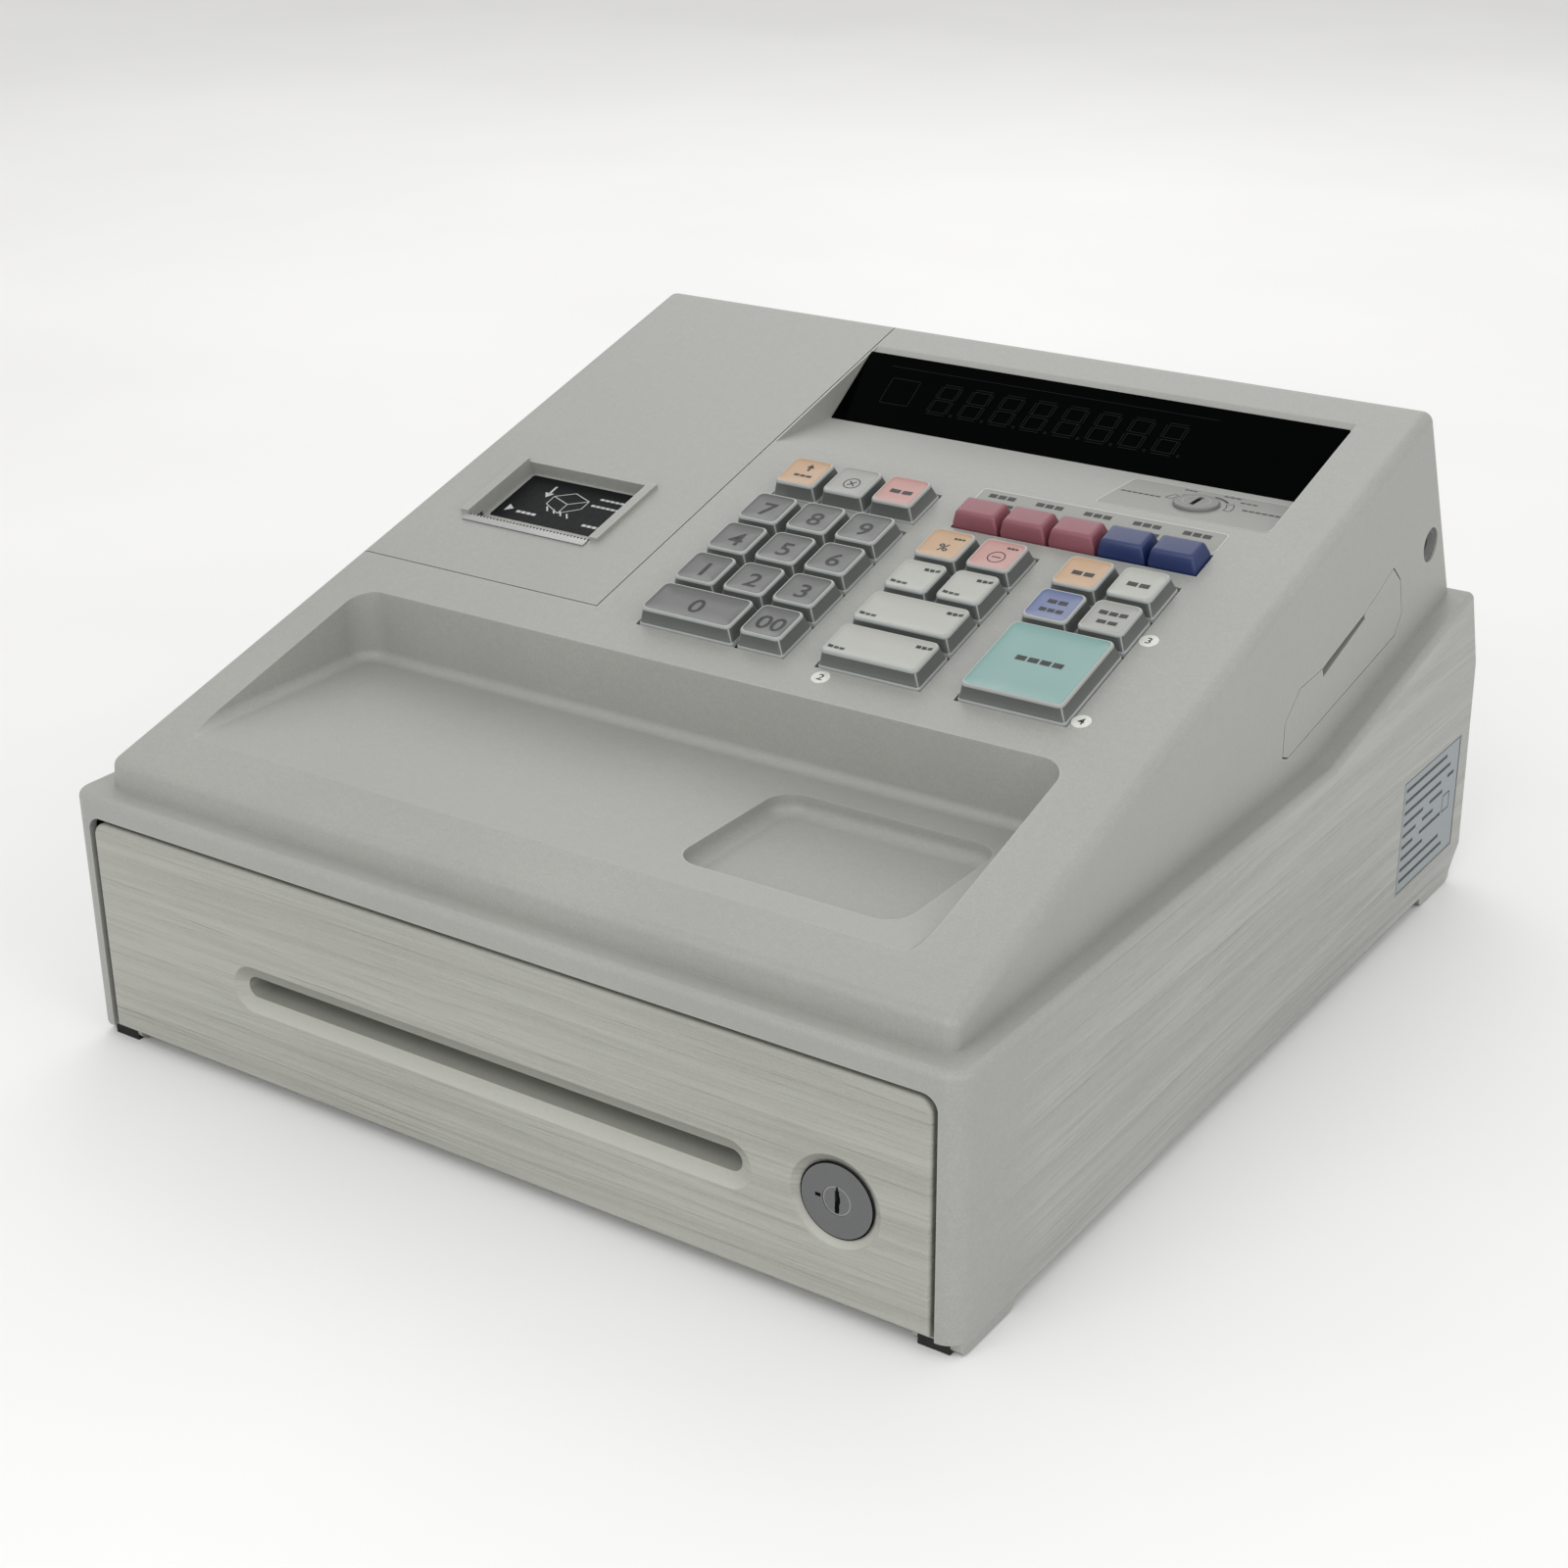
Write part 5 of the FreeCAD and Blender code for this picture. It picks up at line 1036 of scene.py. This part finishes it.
# ---- studio ----
class OBJECT_OT_register_studio(bpy.types.Operator):
    """Sets the pale floor, the soft lights and the camera"""
    bl_idname = "object.register_studio"
    bl_label = "Studio"

    def execute(self, context):
        scene, studio = context.scene, context.scene.register_studio
        floor_finish = Finish("floor_paper")
        cloudy = floor_finish.noise(3.0, 4.0)
        floor_finish.set(Base_Color=floor_finish.mix(floor_finish.spread(cloudy, 0.3, 0.7),
                                                     (0.80, 0.80, 0.80), (0.84, 0.84, 0.84)),
                         Roughness=0.85)
        mesh = bpy.data.meshes.new("floor")
        reach = 6.0
        mesh.from_pydata([(-reach, -reach, 0), (reach, -reach, 0), (reach, reach, 0),
                          (-reach, reach, 0)], [], [(0, 1, 2, 3)])
        mesh.materials.append(floor_finish.material)
        floor = bpy.data.objects.new("floor", mesh)
        scene.collection.objects.link(floor)
        world = bpy.data.worlds.new("even_sky")
        world.use_nodes = True
        sky = world.node_tree.nodes["Background"]
        sky.inputs["Color"].default_value = (1.0, 0.995, 0.98, 1.0)
        sky.inputs["Strength"].default_value = studio.sky
        scene.world = world
        for name, place, power, breadth in (("soft_top", (0.1, -1.35, 1.15), 10.0, 1.4),
                                            ("soft_side", (1.5, -0.3, 0.9), 6.0, 1.2),
                                            ("soft_back", (-0.6, 1.2, 1.3), 7.0, 1.4)):
            light = bpy.data.lights.new(name, "AREA")
            light.energy, light.size = power, breadth
            lamp = bpy.data.objects.new(name, light)
            lamp.location = place
            lamp.rotation_mode = "QUATERNION"
            lamp.rotation_quaternion = (Vector((0, 0, 0.08)) - Vector(place)).to_track_quat("-Z", "Y")
            scene.collection.objects.link(lamp)
        a, e, turn = studio.azimuth, studio.elevation, studio.roll
        back = Vector((math.sin(a) * math.cos(e), -math.cos(a) * math.cos(e), math.sin(e)))
        level = Vector((math.cos(a), math.sin(a), 0))
        raised = back.cross(level)
        right = level * math.cos(turn) + raised * math.sin(turn)
        up = back.cross(right)
        view = Matrix((right, up, back)).transposed().to_4x4()
        view.translation = studio.place
        lens = bpy.data.cameras.new("camera")
        lens.lens, lens.sensor_width = studio.lens, 36.0
        lens.clip_start, lens.clip_end = 0.05, 50.0
        camera = bpy.data.objects.new("camera", lens)
        camera.matrix_world = view
        scene.collection.objects.link(camera)
        scene.camera = camera
        scene.view_settings.view_transform = "Standard"
        return {"FINISHED"}


class VIEW3D_PT_cash_register(bpy.types.Panel):
    """Shows the register's settings and a button for each building step"""
    bl_label = "Cash Register"
    bl_idname = "VIEW3D_PT_cash_register"
    bl_space_type = "VIEW_3D"
    bl_region_type = "UI"
    bl_category = "Cash Register"

    def draw(self, context):
        scene = context.scene
        for holder in (scene.register_colours, scene.register_keys, scene.register_studio):
            box = self.layout.box()
            for name in holder.bl_rna.properties.keys():
                if name not in ("rna_type", "name"):
                    box.prop(holder, name)
        for step in STEPS:
            self.layout.operator(step.bl_idname)


STEPS = (OBJECT_OT_register_finishes, OBJECT_OT_register_keys, OBJECT_OT_register_function_keys,
         OBJECT_OT_register_legends, OBJECT_OT_register_display, OBJECT_OT_register_printer,
         OBJECT_OT_register_lock, OBJECT_OT_register_contacts, OBJECT_OT_register_label,
         OBJECT_OT_register_studio)
HOLDERS = {"register_colours": RegisterColours, "register_keys": RegisterKeys,
           "register_studio": RegisterStudio}


def register():
    for group in (*HOLDERS.values(), *STEPS, VIEW3D_PT_cash_register):
        bpy.utils.register_class(group)
    for name, holder in HOLDERS.items():
        setattr(bpy.types.Scene, name, bpy.props.PointerProperty(type=holder))


def unregister():
    for name in HOLDERS:
        delattr(bpy.types.Scene, name)
    for group in reversed((*HOLDERS.values(), *STEPS, VIEW3D_PT_cash_register)):
        bpy.utils.unregister_class(group)


def main():
    register()
    bpy.ops.object.register_finishes()
    bpy.ops.object.register_keys()
    bpy.ops.object.register_function_keys()
    bpy.ops.object.register_legends()
    bpy.ops.object.register_display()
    bpy.ops.object.register_printer()
    bpy.ops.object.register_lock()
    bpy.ops.object.register_contacts()
    bpy.ops.object.register_label()
    bpy.ops.object.register_studio()


if __name__ == "__main__":
    main()
